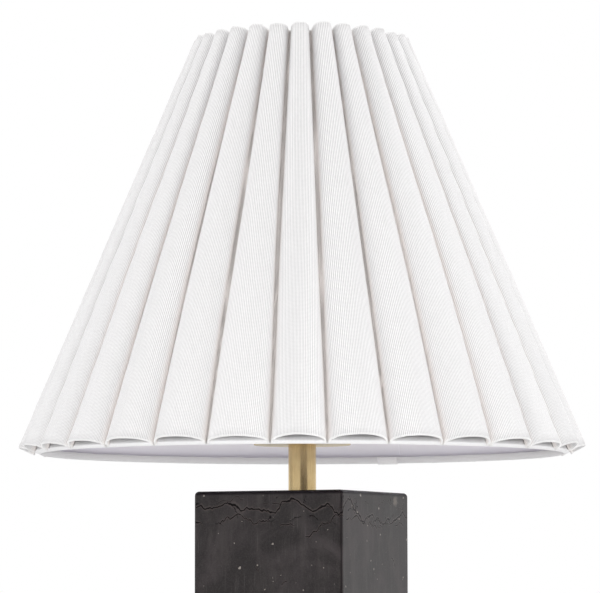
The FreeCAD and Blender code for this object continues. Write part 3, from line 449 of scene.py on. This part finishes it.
material, tree = new_material("honed_black_limestone")
where = object_coordinates(tree)
clouds = noise(tree, where, 20, 6, 0.62, 1.0)
streaks = noise(tree, object_coordinates(tree, (1, 1, 0.3)), 90, 4, 0.6, 0.4)
cloudy = between(tree, clouds, 0.46, 0.74)
grain = noise(tree, where, 1300, 3, 0.65)
stone = blended(tree, cloudy, (0.0065, 0.0034, 0.0038, 1), (0.040, 0.031, 0.033, 1))
stone = blended(tree, between(tree, streaks, 0.5, 0.8, 0.0, 0.5), stone, (0.058, 0.049, 0.047, 1))
stone = blended(tree, between(tree, grain, 0.45, 0.8, 0.0, 0.5), stone, (0.05, 0.044, 0.042, 1))
seams = rim_highlights = 0.0
for depth, wander, width, seed, cover in (
    (0.0145, 0.052, 0.00075, 0.31, 0.72),
    (0.0210, 0.050, 0.00050, 0.77, 0.50),
    (0.0085, 0.034, 0.00030, 1.43, 0.50),
    (0.0600, 0.120, 0.00030, 4.10, 0.40),
    (0.1180, 0.120, 0.00036, 2.10, 0.40),
    (0.2060, 0.130, 0.00042, 2.93, 0.42),
    (0.2650, 0.100, 0.00036, 3.58, 0.42),
):
    seam = placed(
        tree,
        seam_group,
        Place=where,
        Level=column_top - depth,
        Wander=wander,
        Width=width,
        Seed=seed,
        Cover=cover,
    )
    seams = arithmetic(tree, "MAXIMUM", seams, seam.outputs["Seam"])
    rim_highlights = arithmetic(tree, "MAXIMUM", rim_highlights, seam.outputs["Rim Highlight"])

# Short cracks branch off the seams in the block's top 26 mm, below its eased rim.
cracks = add(
    tree,
    "ShaderNodeTexVoronoi",
    {"Vector": strayed(tree, where, 130.0, 4.0, 0.010), "Scale": 62.0},
    feature="DISTANCE_TO_EDGE",
)
crack = between(tree, cracks.outputs["Distance"], 0.022, 0.010)
some = noise(tree, where, 55, 2, 0.5)
crack = arithmetic(tree, "MULTIPLY", crack, between(tree, some, 0.52, 0.56))
parts = add(tree, "ShaderNodeSeparateXYZ", {"Vector": where})
near_top = between(tree, parts.outputs["Z"], column_top - 0.026, column_top - 0.019)
off_rim = between(tree, parts.outputs["Z"], column_top - 0.0035, column_top - 0.005)
crack = arithmetic(tree, "MULTIPLY", crack, arithmetic(tree, "MULTIPLY", near_top, off_rim))
seams = arithmetic(tree, "MAXIMUM", seams, crack)
# The seams' rims are painted paler, a painted highlight beside the dark lines.
stone = blended(tree, arithmetic(tree, "MULTIPLY", rim_highlights, 0.4), stone, (0.085, 0.066, 0.060, 1))
stone = blended(tree, seams, stone, (0.004, 0.0025, 0.003, 1))
fine_lines = noise(tree, object_coordinates(tree, (1, 1, 0.05), rotation=(0.12, 0.1, 0)), 900, 2)
scratched = between(tree, fine_lines, 0.62, 0.76, 0.0, 0.3)
stone = blended(tree, scratched, stone, (0.085, 0.075, 0.075, 1))

# Pale shell flecks of three sizes, and one larger smear of a fossil near the right corner.
ragged_where = strayed(tree, where, 380.0, 3.0, 0.003)
FLECK_RARITY = 14.0
flecks = 0.0
for scale, largest in ((60.0, 0.16), (150.0, 0.2), (330.0, 0.24)):
    cells = add(tree, "ShaderNodeTexVoronoi", {"Vector": ragged_where, "Scale": scale})
    chance = add(tree, "ShaderNodeSeparateColor", {"Color": cells.outputs["Color"]})
    rare = arithmetic(tree, "POWER", chance.outputs["Red"], FLECK_RARITY)
    reach = arithmetic(tree, "MULTIPLY", rare, largest)
    inside = arithmetic(tree, "SUBTRACT", reach, cells.outputs["Distance"])
    flecks = arithmetic(tree, "MAXIMUM", flecks, between(tree, inside, 0.0, 0.03))
stone = blended(tree, flecks, stone, (0.24, 0.215, 0.19, 1))
FOSSIL = (0.058, 0.034, column_top - 0.0062)
ragged = noise(tree, where, 600, 4, 0.75)
apart = vector_arithmetic(tree, "DISTANCE", where, FOSSIL)
fossil = arithmetic(tree, "MULTIPLY_ADD", ragged, 0.008, apart)
fossil = between(tree, fossil, 0.0085, 0.0060, 0.0, 0.6)
stone = blended(tree, fossil, stone, (0.17, 0.145, 0.12, 1))

# The eased edges and a band below the top get painted shade, as they catch no light, and the seams
# and edges are duller than the honed faces.
block_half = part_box("stone_column")[1].x
across_x = arithmetic(tree, "ABSOLUTE", parts.outputs["X"])
across_y = arithmetic(tree, "ABSOLUTE", parts.outputs["Y"])
nearer = arithmetic(tree, "MINIMUM", across_x, across_y)
arris = between(tree, nearer, block_half - 0.0014, block_half - 0.0006)
below_top = between(tree, parts.outputs["Z"], column_top - 0.0034, column_top - 0.0018)
painted_edge_shade = arithmetic(tree, "MAXIMUM", arris, below_top)
stone = blended(tree, painted_edge_shade, stone, (0.006, 0.003, 0.005, 1))
dulled_seams_and_edge_shade = arithmetic(tree, "MULTIPLY", painted_edge_shade, 0.45)
dulled_seams_and_edge_shade = arithmetic(tree, "MAXIMUM", dulled_seams_and_edge_shade, arithmetic(tree, "MULTIPLY", seams, 0.75))
sunk = arithmetic(tree, "MAXIMUM", seams, arithmetic(tree, "MULTIPLY", flecks, 0.4))
height = arithmetic(tree, "SUBTRACT", arithmetic(tree, "MULTIPLY", grain, 0.08), sunk)
waves = arithmetic(tree, "MULTIPLY", streaks, 0.25)
finish_material(
    tree,
    Base_Color=stone,
    Metallic=dulled_seams_and_edge_shade,
    Roughness=between(tree, clouds, 0.3, 0.75, 0.32, 0.46),
    Specular_IOR_Level=0.37,
    Normal=bumped(tree, arithmetic(tree, "ADD", height, waves), 0.0003),
)
dress("stone_column", material)


# Clamping hardware. Zinc-plated washers, a nut and the threaded tube hold the block, the neck and
# the socket together in one stack. All of it is hidden when the lamp is whole.
wear_group, given, out = new_group(
    "handled_metal",
    [("Place", VECTOR, None), ("Along", VECTOR, (1.0, 1.0, 1.0))],
    [("Brushing", FLOAT, None), ("Tarnish", FLOAT, None)],
)
stretched = vector_arithmetic(
    wear_group, "MULTIPLY", given.outputs["Place"], given.outputs["Along"]
)
scratches = noise(wear_group, stretched, 1.0, 3, 0.65)
tarnish = noise(wear_group, given.outputs["Place"], 55, 4, 0.6, 0.5)
wear_group.links.new(scratches, out.inputs["Brushing"])
wear_group.links.new(tarnish, out.inputs["Tarnish"])


def metal(name, light, dark, roughness, along=(900, 900, 900)):
    """A worked metal: brushing along the directions with small numbers, and a little tarnish."""
    material, tree = new_material(name)
    wear = placed(tree, wear_group, Place=object_coordinates(tree), Along=along)
    tarnish = between(tree, wear.outputs["Tarnish"], 0.35, 0.75)
    colour = blended(tree, tarnish, light, dark)
    rough = between(
        tree, wear.outputs["Brushing"], 0.3, 0.7, roughness - 0.05, roughness + 0.07
    )
    finish_material(
        tree,
        Base_Color=colour,
        Metallic=1.0,
        Roughness=rough,
        Normal=bumped(tree, wear.outputs["Brushing"], 0.00002, 0.6),
    )
    return material


zinc = metal("zinc_plate", (0.52, 0.53, 0.55, 1), (0.40, 0.40, 0.41, 1), 0.38)
for name in ("base_washer", "base_lock_washer", "base_nut", "threaded_tube", "cap_set_screw"):
    dress(name, zinc)


# Cord bushing and centring rings. Black nylon mouldings: the bushing lines the cord's way through
# the rear wall, and the two rings keep the neck tube true on the threaded tube.
MOULD_GRAIN = 700.0


def moulded(name, colour, roughness, grain_depth=0.00004, coat=0.0):
    """Moulded plastic: one colour with a faint cloud in it and the mould's fine grain."""
    material, tree = new_material(name)
    where = object_coordinates(tree)
    grain = noise(tree, where, MOULD_GRAIN, 3, 0.6)
    cloud = noise(tree, where, 40, 2, 0.5)
    darker = tuple(channel * 0.86 for channel in colour[:3]) + (1,)
    finish_material(
        tree,
        Base_Color=blended(tree, cloud, colour, darker),
        Roughness=between(tree, grain, 0.3, 0.7, roughness - 0.04, roughness + 0.05),
        Coat_Weight=coat,
        Normal=bumped(tree, grain, grain_depth),
    )
    return material


nylon = moulded("black_nylon", (0.018, 0.018, 0.019, 1), 0.45)
for name in ("cord_bushing", "lower_centring_ring", "upper_centring_ring"):
    dress(name, nylon)


# Brass neck. A drawn tube between the block and the socket, and the disc that it carries. Both are
# brushed, the tube along its length and the disc in rings, and lacquered in an antique tone.
neck_brass = metal(
    "antique_brass_tube",
    (0.70, 0.535, 0.285, 1),
    (0.60, 0.44, 0.22, 1),
    0.24,
    along=(2600, 2600, 22),
)
dress("neck_tube", neck_brass)
disc_brass = metal(
    "antique_brass_disc",
    (0.60, 0.46, 0.24, 1),
    (0.52, 0.38, 0.19, 1),
    0.34,
    along=(500, 500, 500),
)
dress("neck_disc", disc_brass)


# Harp. A saddle strip under the socket, a bow of round wire that stands on it, the sleeves that
# lock the two together, and the riveted stud in the bow's eye. All of it is bright brass plate.
bright_brass = metal(
    "bright_brass_plate", (0.66, 0.49, 0.24, 1), (0.56, 0.40, 0.18, 1), 0.22
)
for name in (
    "harp",
    "harp_saddle",
    "saddle_nut",
    "harp_sleeve_left",
    "harp_sleeve_right",
    "harp_stud",
):
    dress(name, bright_brass)


# Socket. A spun brass cap and shell, a fibre sleeve inside, and a phenolic body that holds the
# switch, the terminals and the screw shell for the bulb.
for name in ("socket_cap", "socket_shell", "terminal_screws", "centre_contact"):
    dress(name, bright_brass)
material, tree = new_material("pressed_fibre")
where = object_coordinates(tree)
fibres = noise(tree, where, 420, 5, 0.7, 1.5)
finish_material(
    tree,
    Base_Color=blended(tree, fibres, (0.20, 0.12, 0.06, 1), (0.34, 0.23, 0.13, 1)),
    Roughness=0.8,
    Normal=bumped(tree, fibres, 0.0001),
)
dress("insulating_sleeve", material)
dress("socket_body", moulded("brown_phenolic", (0.030, 0.020, 0.015, 1), 0.35))
shell_metal = metal("nickel_plate", (0.70, 0.68, 0.64, 1), (0.58, 0.56, 0.52, 1), 0.25)
dress("screw_shell", shell_metal)


# Switch. A brass shaft that leaves the socket through a hole in its shell, with a fluted knob of
# black phenolic pressed onto it. It is turned by hand under the shade.
dress("switch_shaft", bright_brass)
dress("switch_knob", moulded("black_phenolic", (0.016, 0.016, 0.017, 1), 0.28, coat=0.2))


# Bulb. A frosted lamp bulb: a nickel-plated cap with a black insulator and a tinned contact, a
# white body that carries away the heat, and an opal dome.
dress("bulb_cap", shell_metal)
dress("bulb_contact", zinc)
dress("bulb_insulator", moulded("black_glass", (0.01, 0.01, 0.012, 1), 0.15, coat=0.5))
dress("bulb_body", moulded("white_bulb_body", (0.78, 0.78, 0.77, 1), 0.42))
dress("bulb_dome", moulded("opal_dome", (0.84, 0.84, 0.82, 1), 0.55, grain_depth=0.00001))


# Shade frame. A spider of three brass-plated wires on a flat hub, welded to the upper ring, and a
# lower ring that keeps the shade round. The rings are white-coated wire.
for name in ("spider_hub", "spider_arm_1", "spider_arm_2", "spider_arm_3"):
    dress(name, bright_brass)
ring_coat = moulded("white_wire_coat", (0.72, 0.72, 0.71, 1), 0.35, coat=0.3)
for name in ("top_ring", "bottom_ring"):
    dress(name, ring_coat)


# Lining. White styrene sheet faced with fine cloth, rolled into a cone and glued at one overlap at
# the back. The side that faces the bulb is satin, and looks faintly lavender beside the warm linen.
weave_group, given, out = new_group(
    "plain_weave",
    [
        ("Place", VECTOR, None),
        ("Across", FLOAT, 0.0009),
        ("Along", FLOAT, 0.0005),
        ("Looseness", FLOAT, 0.3),
    ],
    [("Thread", FLOAT, None), ("Slub", FLOAT, None)],
)
sway = noise(weave_group, given.outputs["Place"], 90, 2)
wobble = arithmetic(weave_group, "SUBTRACT", sway, 0.5)
wobble = arithmetic(weave_group, "MULTIPLY", wobble, given.outputs["Looseness"])
parts = add(weave_group, "ShaderNodeSeparateXYZ", {"Vector": given.outputs["Place"]})
threads = []
for axis, pitch in (("X", "Across"), ("Y", "Along")):
    turn = arithmetic(weave_group, "DIVIDE", parts.outputs[axis], given.outputs[pitch])
    turn = arithmetic(weave_group, "ADD", turn, wobble)
    turn = arithmetic(weave_group, "MULTIPLY", turn, 2 * math.pi)
    wave = arithmetic(weave_group, "SINE", turn)
    threads.append(arithmetic(weave_group, "MULTIPLY_ADD", wave, 0.5, 0.5))
CROSS_SHARE = 0.25
rib, cross = threads
thread = arithmetic(weave_group, "MULTIPLY", cross, CROSS_SHARE)
thread = arithmetic(weave_group, "MULTIPLY_ADD", rib, 1 - CROSS_SHARE, thread)
long_way = vector_arithmetic(weave_group, "MULTIPLY", given.outputs["Place"], (1.0, 0.12, 1.0))
slub = noise(weave_group, long_way, 800, 3, 0.65)
weave_group.links.new(thread, out.inputs["Thread"])
weave_group.links.new(slub, out.inputs["Slub"])

lining_low, lining_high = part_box("shade_lining")
TAPE = 0.0005
TAPE_DEPTH = 0.004
FOOT_RADIUS = lining_high.x
TOP_RADIUS = 0.067
LINING = 0.001
taper = FOOT_RADIUS - TOP_RADIUS
lean_in = taper / math.hypot(taper, lining_high.z - lining_low.z)
foot_height = lining_low.z + LINING * lean_in
slant = math.hypot(taper, lining_high.z - foot_height)
lean_in = taper / slant
lean_up = (lining_high.z - foot_height) / slant


def shade_place(along, out, turn):
    """A place on the shade: up its slant from its foot, out from the lining, and round it."""
    reach = FOOT_RADIUS - along * lean_in + out * lean_up
    height = foot_height + along * lean_up + out * lean_in
    return (reach * math.cos(turn), reach * math.sin(turn), height)


material, tree = new_material("lining_cloth")
place = add(tree, "ShaderNodeTexCoord")
parts = add(tree, "ShaderNodeSeparateXYZ", {"Vector": place.outputs["Object"]})
turn = arithmetic(tree, "ARCTAN2", parts.outputs["Y"], parts.outputs["X"])
round_it = arithmetic(tree, "MULTIPLY", turn, FOOT_RADIUS)
on_cone = add(tree, "ShaderNodeCombineXYZ", {"X": round_it, "Y": parts.outputs["Z"]})
weave = placed(
    tree,
    weave_group,
    Place=on_cone.outputs[0],
    Across=0.0006,
    Along=0.0006,
    Looseness=0.2,
)
# Painted shade: the lining is painted darker and more purple towards its foot, over its lowest 12
# mm.
painted_shade_near_foot = between(tree, parts.outputs["Z"], foot_height + 0.012, foot_height + 0.004, 0.0, 0.35)
lining_colour = blended(
    tree, weave.outputs["Slub"], (0.93, 0.905, 0.955, 1), (0.97, 0.955, 0.985, 1)
)
finish_material(
    tree,
    Base_Color=blended(tree, painted_shade_near_foot, lining_colour, (0.62, 0.58, 0.72, 1)),
    Roughness=0.55,
    Normal=bumped(tree, weave.outputs["Thread"], 0.00004),
)
for name in ("shade_lining", "lining_seam"):
    dress(name, material)


# Bindings. White cotton tape is folded over each edge of the lining and glued round its ring. The
# lower tape's ends overlap in a short lap at the back, and the tape's edges wander a little.
OUTER_LEG = 0.004
INNER_LEG = 0.005
EDGE_WANDER = 0.0005
RIPPLE = 0.00012
RIPPLES_ROUND = 60
TAPE_EASE = 0.0006
LAP_MIDDLE = math.radians(184.8 - 90)
LAP_SWEEP = math.radians(4.9)


def cotton(name, gaps, threads):
    """Plain cotton tape, between the colours of its gaps and its threads."""
    material, tree = new_material(name)
    weave = placed(
        tree,
        weave_group,
        Place=add(tree, "ShaderNodeUVMap", uv_map="cloth").outputs[0],
        Across=0.0009,
        Along=0.0007,
        Looseness=0.3,
    )
    finish_material(
        tree,
        Base_Color=blended(tree, weave.outputs["Thread"], gaps, threads),
        Roughness=0.85,
        Normal=bumped(tree, weave.outputs["Thread"], 0.0001),
    )
    return material


# Painted shade and highlight: the tape is painted greyer, and its lap is the same tape painted
# lighter where the tab stands out.
shaded_tape_cloth = cotton("cotton_tape", (0.76, 0.755, 0.76, 1), (0.88, 0.875, 0.88, 1))
lit_tape_cloth = cotton("lit_cotton_tape", (0.90, 0.895, 0.895, 1), (0.97, 0.965, 0.965, 1))


def bake(piece):
    """Keeps what a piece's modifiers make of it as its plain mesh, and removes them."""
    graph = bpy.context.evaluated_depsgraph_get()
    mesh = bpy.data.meshes.new_from_object(
        piece.evaluated_get(graph), preserve_all_data_layers=True, depsgraph=graph
    )
    piece.modifiers.clear()
    piece.data = mesh


def thicken(piece, thickness):
    """Gives a sheet its thickness, on the side away from its faces."""
    thick = piece.modifiers.new("thickness", "SOLIDIFY")
    thick.thickness = thickness
    thick.offset = -1
    thick.use_even_offset = False
    bake(piece)


def eased(corners, ease):
    """A section's line with each of its inner corners rounded off."""
    line = [corners[0]]
    for before, corner, after in zip(corners, corners[1:], corners[2:]):
        corner = Vector(corner)
        into = (corner - Vector(before)).normalized() * ease
        away = (Vector(after) - corner).normalized() * ease
        for share in (0.0, 0.35, 0.65, 1.0):
            start, end = corner - into * (1 - share), corner + away * share
            line.append(tuple(start.lerp(end, share)))
    return line + [corners[-1]]


def tape_piece(name, corners, start, sweep, steps, material):
    """Tape that follows a section round the shade, with the cloth's coordinates as its UV map."""
    section = eased(corners, TAPE_EASE)
    widths = [0.0]
    for one, other in zip(section, section[1:]):
        widths.append(widths[-1] + math.dist(one, other))
    closed = math.isclose(sweep, 2 * math.pi)
    band = bmesh.new()
    tape_map = band.loops.layers.uv.new("cloth")
    rows = []
    for step in range(steps if closed else steps + 1):
        turn = start + sweep * step / steps
        row = []
        for number, (along, out) in enumerate(section):
            round_it = RIPPLES_ROUND * Vector((math.cos(turn), math.sin(turn), 0))
            round_it.z = number * 0.4
            if number in (0, len(section) - 1):
                along += EDGE_WANDER * mathutils.noise.noise(round_it * 0.5)
            out += RIPPLE * mathutils.noise.noise(round_it)
            row.append(band.verts.new(shade_place(along, out, turn)))
        rows.append(row)
    for step in range(steps):
        here, there = rows[step], rows[(step + 1) % len(rows)]
        ways = [FOOT_RADIUS * sweep * (step + side) / steps for side in (0, 0, 1, 1)]
        for place in range(len(section) - 1):
            ring = (here[place], here[place + 1], there[place + 1], there[place])
            face = band.faces.new(ring)
            face.smooth = True
            heights = (widths[place], widths[place + 1], widths[place + 1], widths[place])
            for loop, way, height in zip(face.loops, ways, heights):
                loop[tape_map].uv = (way, height)
    piece = new_piece(name, band, material)
    thicken(piece, TAPE)
    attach(piece, "shade")
    return piece, widths[-1]


fold_in = -(TAPE_DEPTH + TAPE)
foot_tape, foot_tape_width = tape_piece(
    "foot_tape",
    [(OUTER_LEG, TAPE), (-TAPE, TAPE), (-TAPE, fold_in), (INNER_LEG, fold_in)],
    start=0.0,
    sweep=2 * math.pi,
    steps=420,
    material=shaded_tape_cloth,
)
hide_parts("bottom_binding")
top_tape, top_tape_width = tape_piece(
    "top_tape",
    [
        (slant - INNER_LEG, fold_in),
        (slant + TAPE, fold_in),
        (slant + TAPE, TAPE),
        (slant - OUTER_LEG, TAPE),
    ],
    start=0.0,
    sweep=2 * math.pi,
    steps=240,
    material=shaded_tape_cloth,
)
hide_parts("top_binding")
tape_lap, lap_width = tape_piece(
    "tape_lap",
    [(-2 * TAPE, TAPE), (-2 * TAPE, fold_in - TAPE), (INNER_LEG, fold_in - TAPE)],
    start=LAP_MIDDLE - LAP_SWEEP / 2,
    sweep=LAP_SWEEP,
    steps=12,
    material=lit_tape_cloth,
)
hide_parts("binding_lap")


# Pleated cover. White ribbed linen, folded by hand into thirty rounded pleats that are pinched onto
# the lining's two bound edges. Each pleat is one crown with a narrow groove beside it, wide at the
# foot of the shade and narrow at its top, and no two are quite alike.
PLEATS = 30
FIRST_CROWN = math.radians(0.4 - 90)
PLEAT_RISE = 0.0115
CLOTH = 0.0011
COVER_DROP = 0.0015
TIP_DROP = 0.0008
GROOVE_HALF = 0.0007
GROOVE_WIDER = 0.0006
GROOVE_LIFT = 0.0040
FOOT_FULLNESS = 2.0
TOP_FULLNESS = 2.6
COLUMNS = 32
ROWS = 44


def groove_floor(along):
    """How far out of the lining a groove's floor is: it floats off the lining between the edges."""
    return TAPE + CLOTH + GROOVE_LIFT * max(0, math.sin(math.pi * along / slant))


def pleat_section(along):
    """A crown's outline at a place up the slant, from groove to groove, as (across, out) places."""
    floor_out = groove_floor(along)
    half_width = (FOOT_RADIUS - along * lean_in) * math.pi / PLEATS
    power = 2 / (FOOT_FULLNESS + (TOP_FULLNESS - FOOT_FULLNESS) * along / slant)
    groove = GROOVE_HALF + GROOVE_WIDER * max(0, math.sin(math.pi * along / slant))
    places = [(-half_width, floor_out)]
    for step in range(COLUMNS + 1):
        turn = math.pi * step / COLUMNS
        across = -math.copysign(abs(math.cos(turn)) ** power, math.cos(turn))
        out = floor_out + (TAPE + PLEAT_RISE - floor_out) * math.sin(turn) ** power
        places.append((across * (half_width - groove), out))
    return places + [(half_width, floor_out)]


def one_pleat(material):
    """One crown of the cover on the side of +X, with the cloth's own coordinates as its UV map."""
    pleat = bmesh.new()
    cloth_map = pleat.loops.layers.uv.new("cloth")
    crown_share = pleat.verts.layers.float.new("crown")
    rows = []
    for row in range(ROWS + 1):
        along = row * (slant + COVER_DROP) / ROWS - COVER_DROP
        radius = FOOT_RADIUS - along * lean_in
        section = pleat_section(along)
        lengths = [0.0]
        for one, other in zip(section, section[1:]):
            lengths.append(lengths[-1] + math.dist(one, other))
        corners = []
        for (across, out), length in zip(section, lengths):
            share = (out - section[0][1]) / (TAPE + PLEAT_RISE - section[0][1])
            dropped = along - TIP_DROP * (1 - share) ** 2 if row == 0 else along
            vert = pleat.verts.new(shade_place(dropped, out, across / radius))
            vert[crown_share] = share
            corners.append((vert, (length - lengths[-1] / 2, along)))
        rows.append(corners)
    for low, high in zip(rows, rows[1:]):
        for left in range(len(low) - 1):
            ring = (low[left], low[left + 1], high[left + 1], high[left])
            face = pleat.faces.new([vert for vert, _ in ring])
            face.smooth = True
            for loop, (_, place) in zip(face.loops, ring):
                loop[cloth_map].uv = place
    return new_piece("pleated_linen", pleat, material)


GEOMETRY = "NodeSocketGeometry"
cover_group, given, out = new_group(
    "pleats_round_a_shade",
    [
        ("Pleat", GEOMETRY, None),
        ("Pleats", "NodeSocketInt", PLEATS),
        ("First Turn", FLOAT, FIRST_CROWN),
        ("Wander", FLOAT, 0.05),
        ("Lean", FLOAT, 0.05),
        ("Change of Rise", FLOAT, 0.003),
        ("Flutter", FLOAT, 0.0012),
        ("Change of Length", FLOAT, 0.0009),
        ("Raggedness", FLOAT, 0.0016),
        ("Seed", "NodeSocketInt", 11),
        ("Material", "NodeSocketMaterial", None),
    ],
    [("Cover", GEOMETRY, None)],
    "GeometryNodeTree",
)
tree = cover_group
starts = add(tree, "GeometryNodeMeshLine", {"Count": given.outputs["Pleats"], "Offset": (0, 0, 0)})
index = add(tree, "GeometryNodeInputIndex").outputs[0]
pitch = arithmetic(tree, "DIVIDE", 2 * math.pi, given.outputs["Pleats"])
turn = arithmetic(tree, "MULTIPLY_ADD", index, pitch, given.outputs["First Turn"])
rotation = add(tree, "ShaderNodeCombineXYZ", {"Z": turn})
ring_of_pleats = add(
    tree,
    "GeometryNodeInstanceOnPoints",
    {
        "Points": starts.outputs[0],
        "Instance": given.outputs["Pleat"],
        "Rotation": rotation.outputs[0],
    },
)
chance = add(
    tree,
    "FunctionNodeRandomValue",
    {2: -1.0, 3: 1.0, "ID": index, "Seed": given.outputs["Seed"]},
    data_type="FLOAT",
)
own_change = add(
    tree,
    "GeometryNodeStoreNamedAttribute",
    {"Geometry": ring_of_pleats.outputs[0], "Name": "own_change", "Value": chance.outputs[1]},
    data_type="FLOAT",
    domain="INSTANCE",
)
pleats = add(tree, "GeometryNodeRealizeInstances", {"Geometry": own_change.outputs[0]})
position = add(tree, "GeometryNodeInputPosition").outputs[0]
level = vector_arithmetic(tree, "MULTIPLY", position, (1, 1, 0))

# The pleats' uneven ways change at one pace round the shade and at another up it.
PACE_ROUND = 4.8
PACE_UP = 3.0
outward = vector_arithmetic(tree, "NORMALIZE", level)
pace_round = (PACE_ROUND, PACE_ROUND, 0)
round_ring = vector_arithmetic(tree, "MULTIPLY_ADD", outward, pace_round, position)
slow = vector_arithmetic(tree, "MULTIPLY", round_ring, (1, 1, PACE_UP))


def uneven(step, amount, where=slow, scale=1.0):
    """A smooth change of up to about an amount either way, different for each step."""
    seed = arithmetic(cover_group, "MULTIPLY_ADD", given.outputs["Seed"], 1.7, step)
    made = add(
        cover_group,
        "ShaderNodeTexNoise",
        {"Vector": where, "W": seed, "Scale": scale, "Detail": 1.0},
        noise_dimensions="4D",
    )
    centred = arithmetic(cover_group, "SUBTRACT", made.outputs["Fac"], 0.5)
    return arithmetic(cover_group, "MULTIPLY", centred, amount)


crown = add(
    tree, "GeometryNodeInputNamedAttribute", {"Name": "crown"}, data_type="FLOAT"
).outputs["Attribute"]
own = add(
    tree, "GeometryNodeInputNamedAttribute", {"Name": "own_change"}, data_type="FLOAT"
).outputs["Attribute"]
leaning = arithmetic(tree, "MULTIPLY", uneven(5.3, given.outputs["Lean"]), crown)
turned = arithmetic(tree, "ADD", uneven(0.0, given.outputs["Wander"]), leaning)
flutter = uneven(2.2, given.outputs["Flutter"], position, 45.0)
rise = arithmetic(tree, "ADD", uneven(9.1, given.outputs["Change of Rise"]), flutter)
rise = arithmetic(tree, "MULTIPLY", rise, crown)
grown = arithmetic(tree, "DIVIDE", rise, vector_arithmetic(tree, "LENGTH", level))
grown = arithmetic(tree, "ADD", grown, 1.0)
growth = add(tree, "ShaderNodeCombineXYZ", {"X": grown, "Y": grown, "Z": 1.0})
longer = arithmetic(tree, "MULTIPLY", own, given.outputs["Change of Length"])
longer = arithmetic(tree, "MULTIPLY", longer, crown)
height = add(tree, "ShaderNodeSeparateXYZ", {"Vector": position}).outputs["Z"]
RAGGED_DEPTH = 0.004
at_foot = between(tree, height, foot_height + RAGGED_DEPTH, foot_height - 0.001)
at_top = between(tree, height, lining_high.z - RAGGED_DEPTH, lining_high.z)
ragged = uneven(7.7, given.outputs["Raggedness"], position, 260.0)
ragged = arithmetic(tree, "MULTIPLY", ragged, arithmetic(tree, "MAXIMUM", at_foot, at_top))
lifted = add(tree, "ShaderNodeCombineXYZ", {"Z": arithmetic(tree, "ADD", longer, ragged)})
swung = add(
    tree, "ShaderNodeVectorRotate", {"Vector": position, "Angle": turned}, rotation_type="Z_AXIS"
)
moved = vector_arithmetic(
    tree, "MULTIPLY_ADD", swung.outputs[0], growth.outputs[0], lifted.outputs[0]
)
pleats = add(
    tree, "GeometryNodeSetPosition", {"Geometry": pleats.outputs[0], "Position": moved}
)

# Neighbours share the line where they meet, so the thirty pleats are welded into one cloth.
WELD_WITHIN = 0.00005
pleats = add(
    tree,
    "GeometryNodeMergeByDistance",
    {"Geometry": pleats.outputs[0], "Distance": WELD_WITHIN},
)
pleats = add(
    tree,
    "GeometryNodeSetMaterial",
    {"Geometry": pleats.outputs[0], "Material": given.outputs["Material"]},
)
tree.links.new(pleats.outputs[0], out.inputs["Cover"])


def shape_with(piece, group, settings):
    """Puts a geometry tree on a piece, with its inputs set by name."""
    modifier = piece.modifiers.new(group.name, "NODES")
    modifier.node_group = group
    for item in group.interface.items_tree:
        if item.item_type == "SOCKET" and item.in_out == "INPUT" and item.name in settings:
            modifier[item.identifier] = settings[item.name]


material, tree = new_material("ribbed_linen")
cloth_map = add(tree, "ShaderNodeUVMap", uv_map="cloth").outputs[0]
crown = add(tree, "ShaderNodeAttribute", attribute_name="crown").outputs["Fac"]
own = add(tree, "ShaderNodeAttribute", attribute_name="own_change").outputs["Fac"]
own_shift = add(tree, "ShaderNodeCombineXYZ", {"X": own, "Y": own})
own_place = vector_arithmetic(tree, "ADD", cloth_map, own_shift.outputs[0])
weave = placed(
    tree, weave_group, Place=own_place, Across=0.0011, Along=0.0010, Looseness=0.15
)
thread = arithmetic(tree, "SUBTRACT", weave.outputs["Thread"], 0.5)
slub = between(tree, weave.outputs["Slub"], 0.3, 0.7, 0.46, 0.54)
tone = arithmetic(tree, "MULTIPLY_ADD", thread, 0.9, slub)
linen = blended(tree, tone, (0.49, 0.48, 0.48, 1), (0.98, 0.975, 0.98, 1))
# Painted shade: the grooves are painted a warmer, darker tone, for the shade and warm bounced light
# in the creases.
painted_groove_shade = between(tree, crown, 0.5, 0.0, 0.0, 0.7)
linen = blended(tree, painted_groove_shade, linen, (0.92, 0.85, 0.81, 1))
up_slant = add(tree, "ShaderNodeSeparateXYZ", {"Vector": cloth_map}).outputs["Y"]

# A hem line of doubled thread runs along both edges.
at_foot = between(tree, up_slant, -0.0002, -0.0009)
at_top = between(tree, up_slant, slant - 0.0013, slant - 0.0006)
hem = arithmetic(tree, "MULTIPLY", arithmetic(tree, "ADD", at_foot, at_top), 0.7)
linen = blended(tree, hem, linen, (0.93, 0.925, 0.92, 1))
finish_material(
    tree,
    Base_Color=linen,
    Roughness=0.9,
    Specular_IOR_Level=0.25,
    Sheen_Weight=0.15,
    Normal=bumped(tree, tone, 0.0003),
)

cover = one_pleat(material)
shape_with(cover, cover_group, {"Pleats": PLEATS, "Material": material})
thicken(cover, CLOTH)
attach(cover, "shade")
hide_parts("pleated_cover")


# Finial. A turned ball of brass on a waisted foot, in the neck's antique tone. It screws onto the
# harp's stud and holds the shade down.
dress("finial", neck_brass)
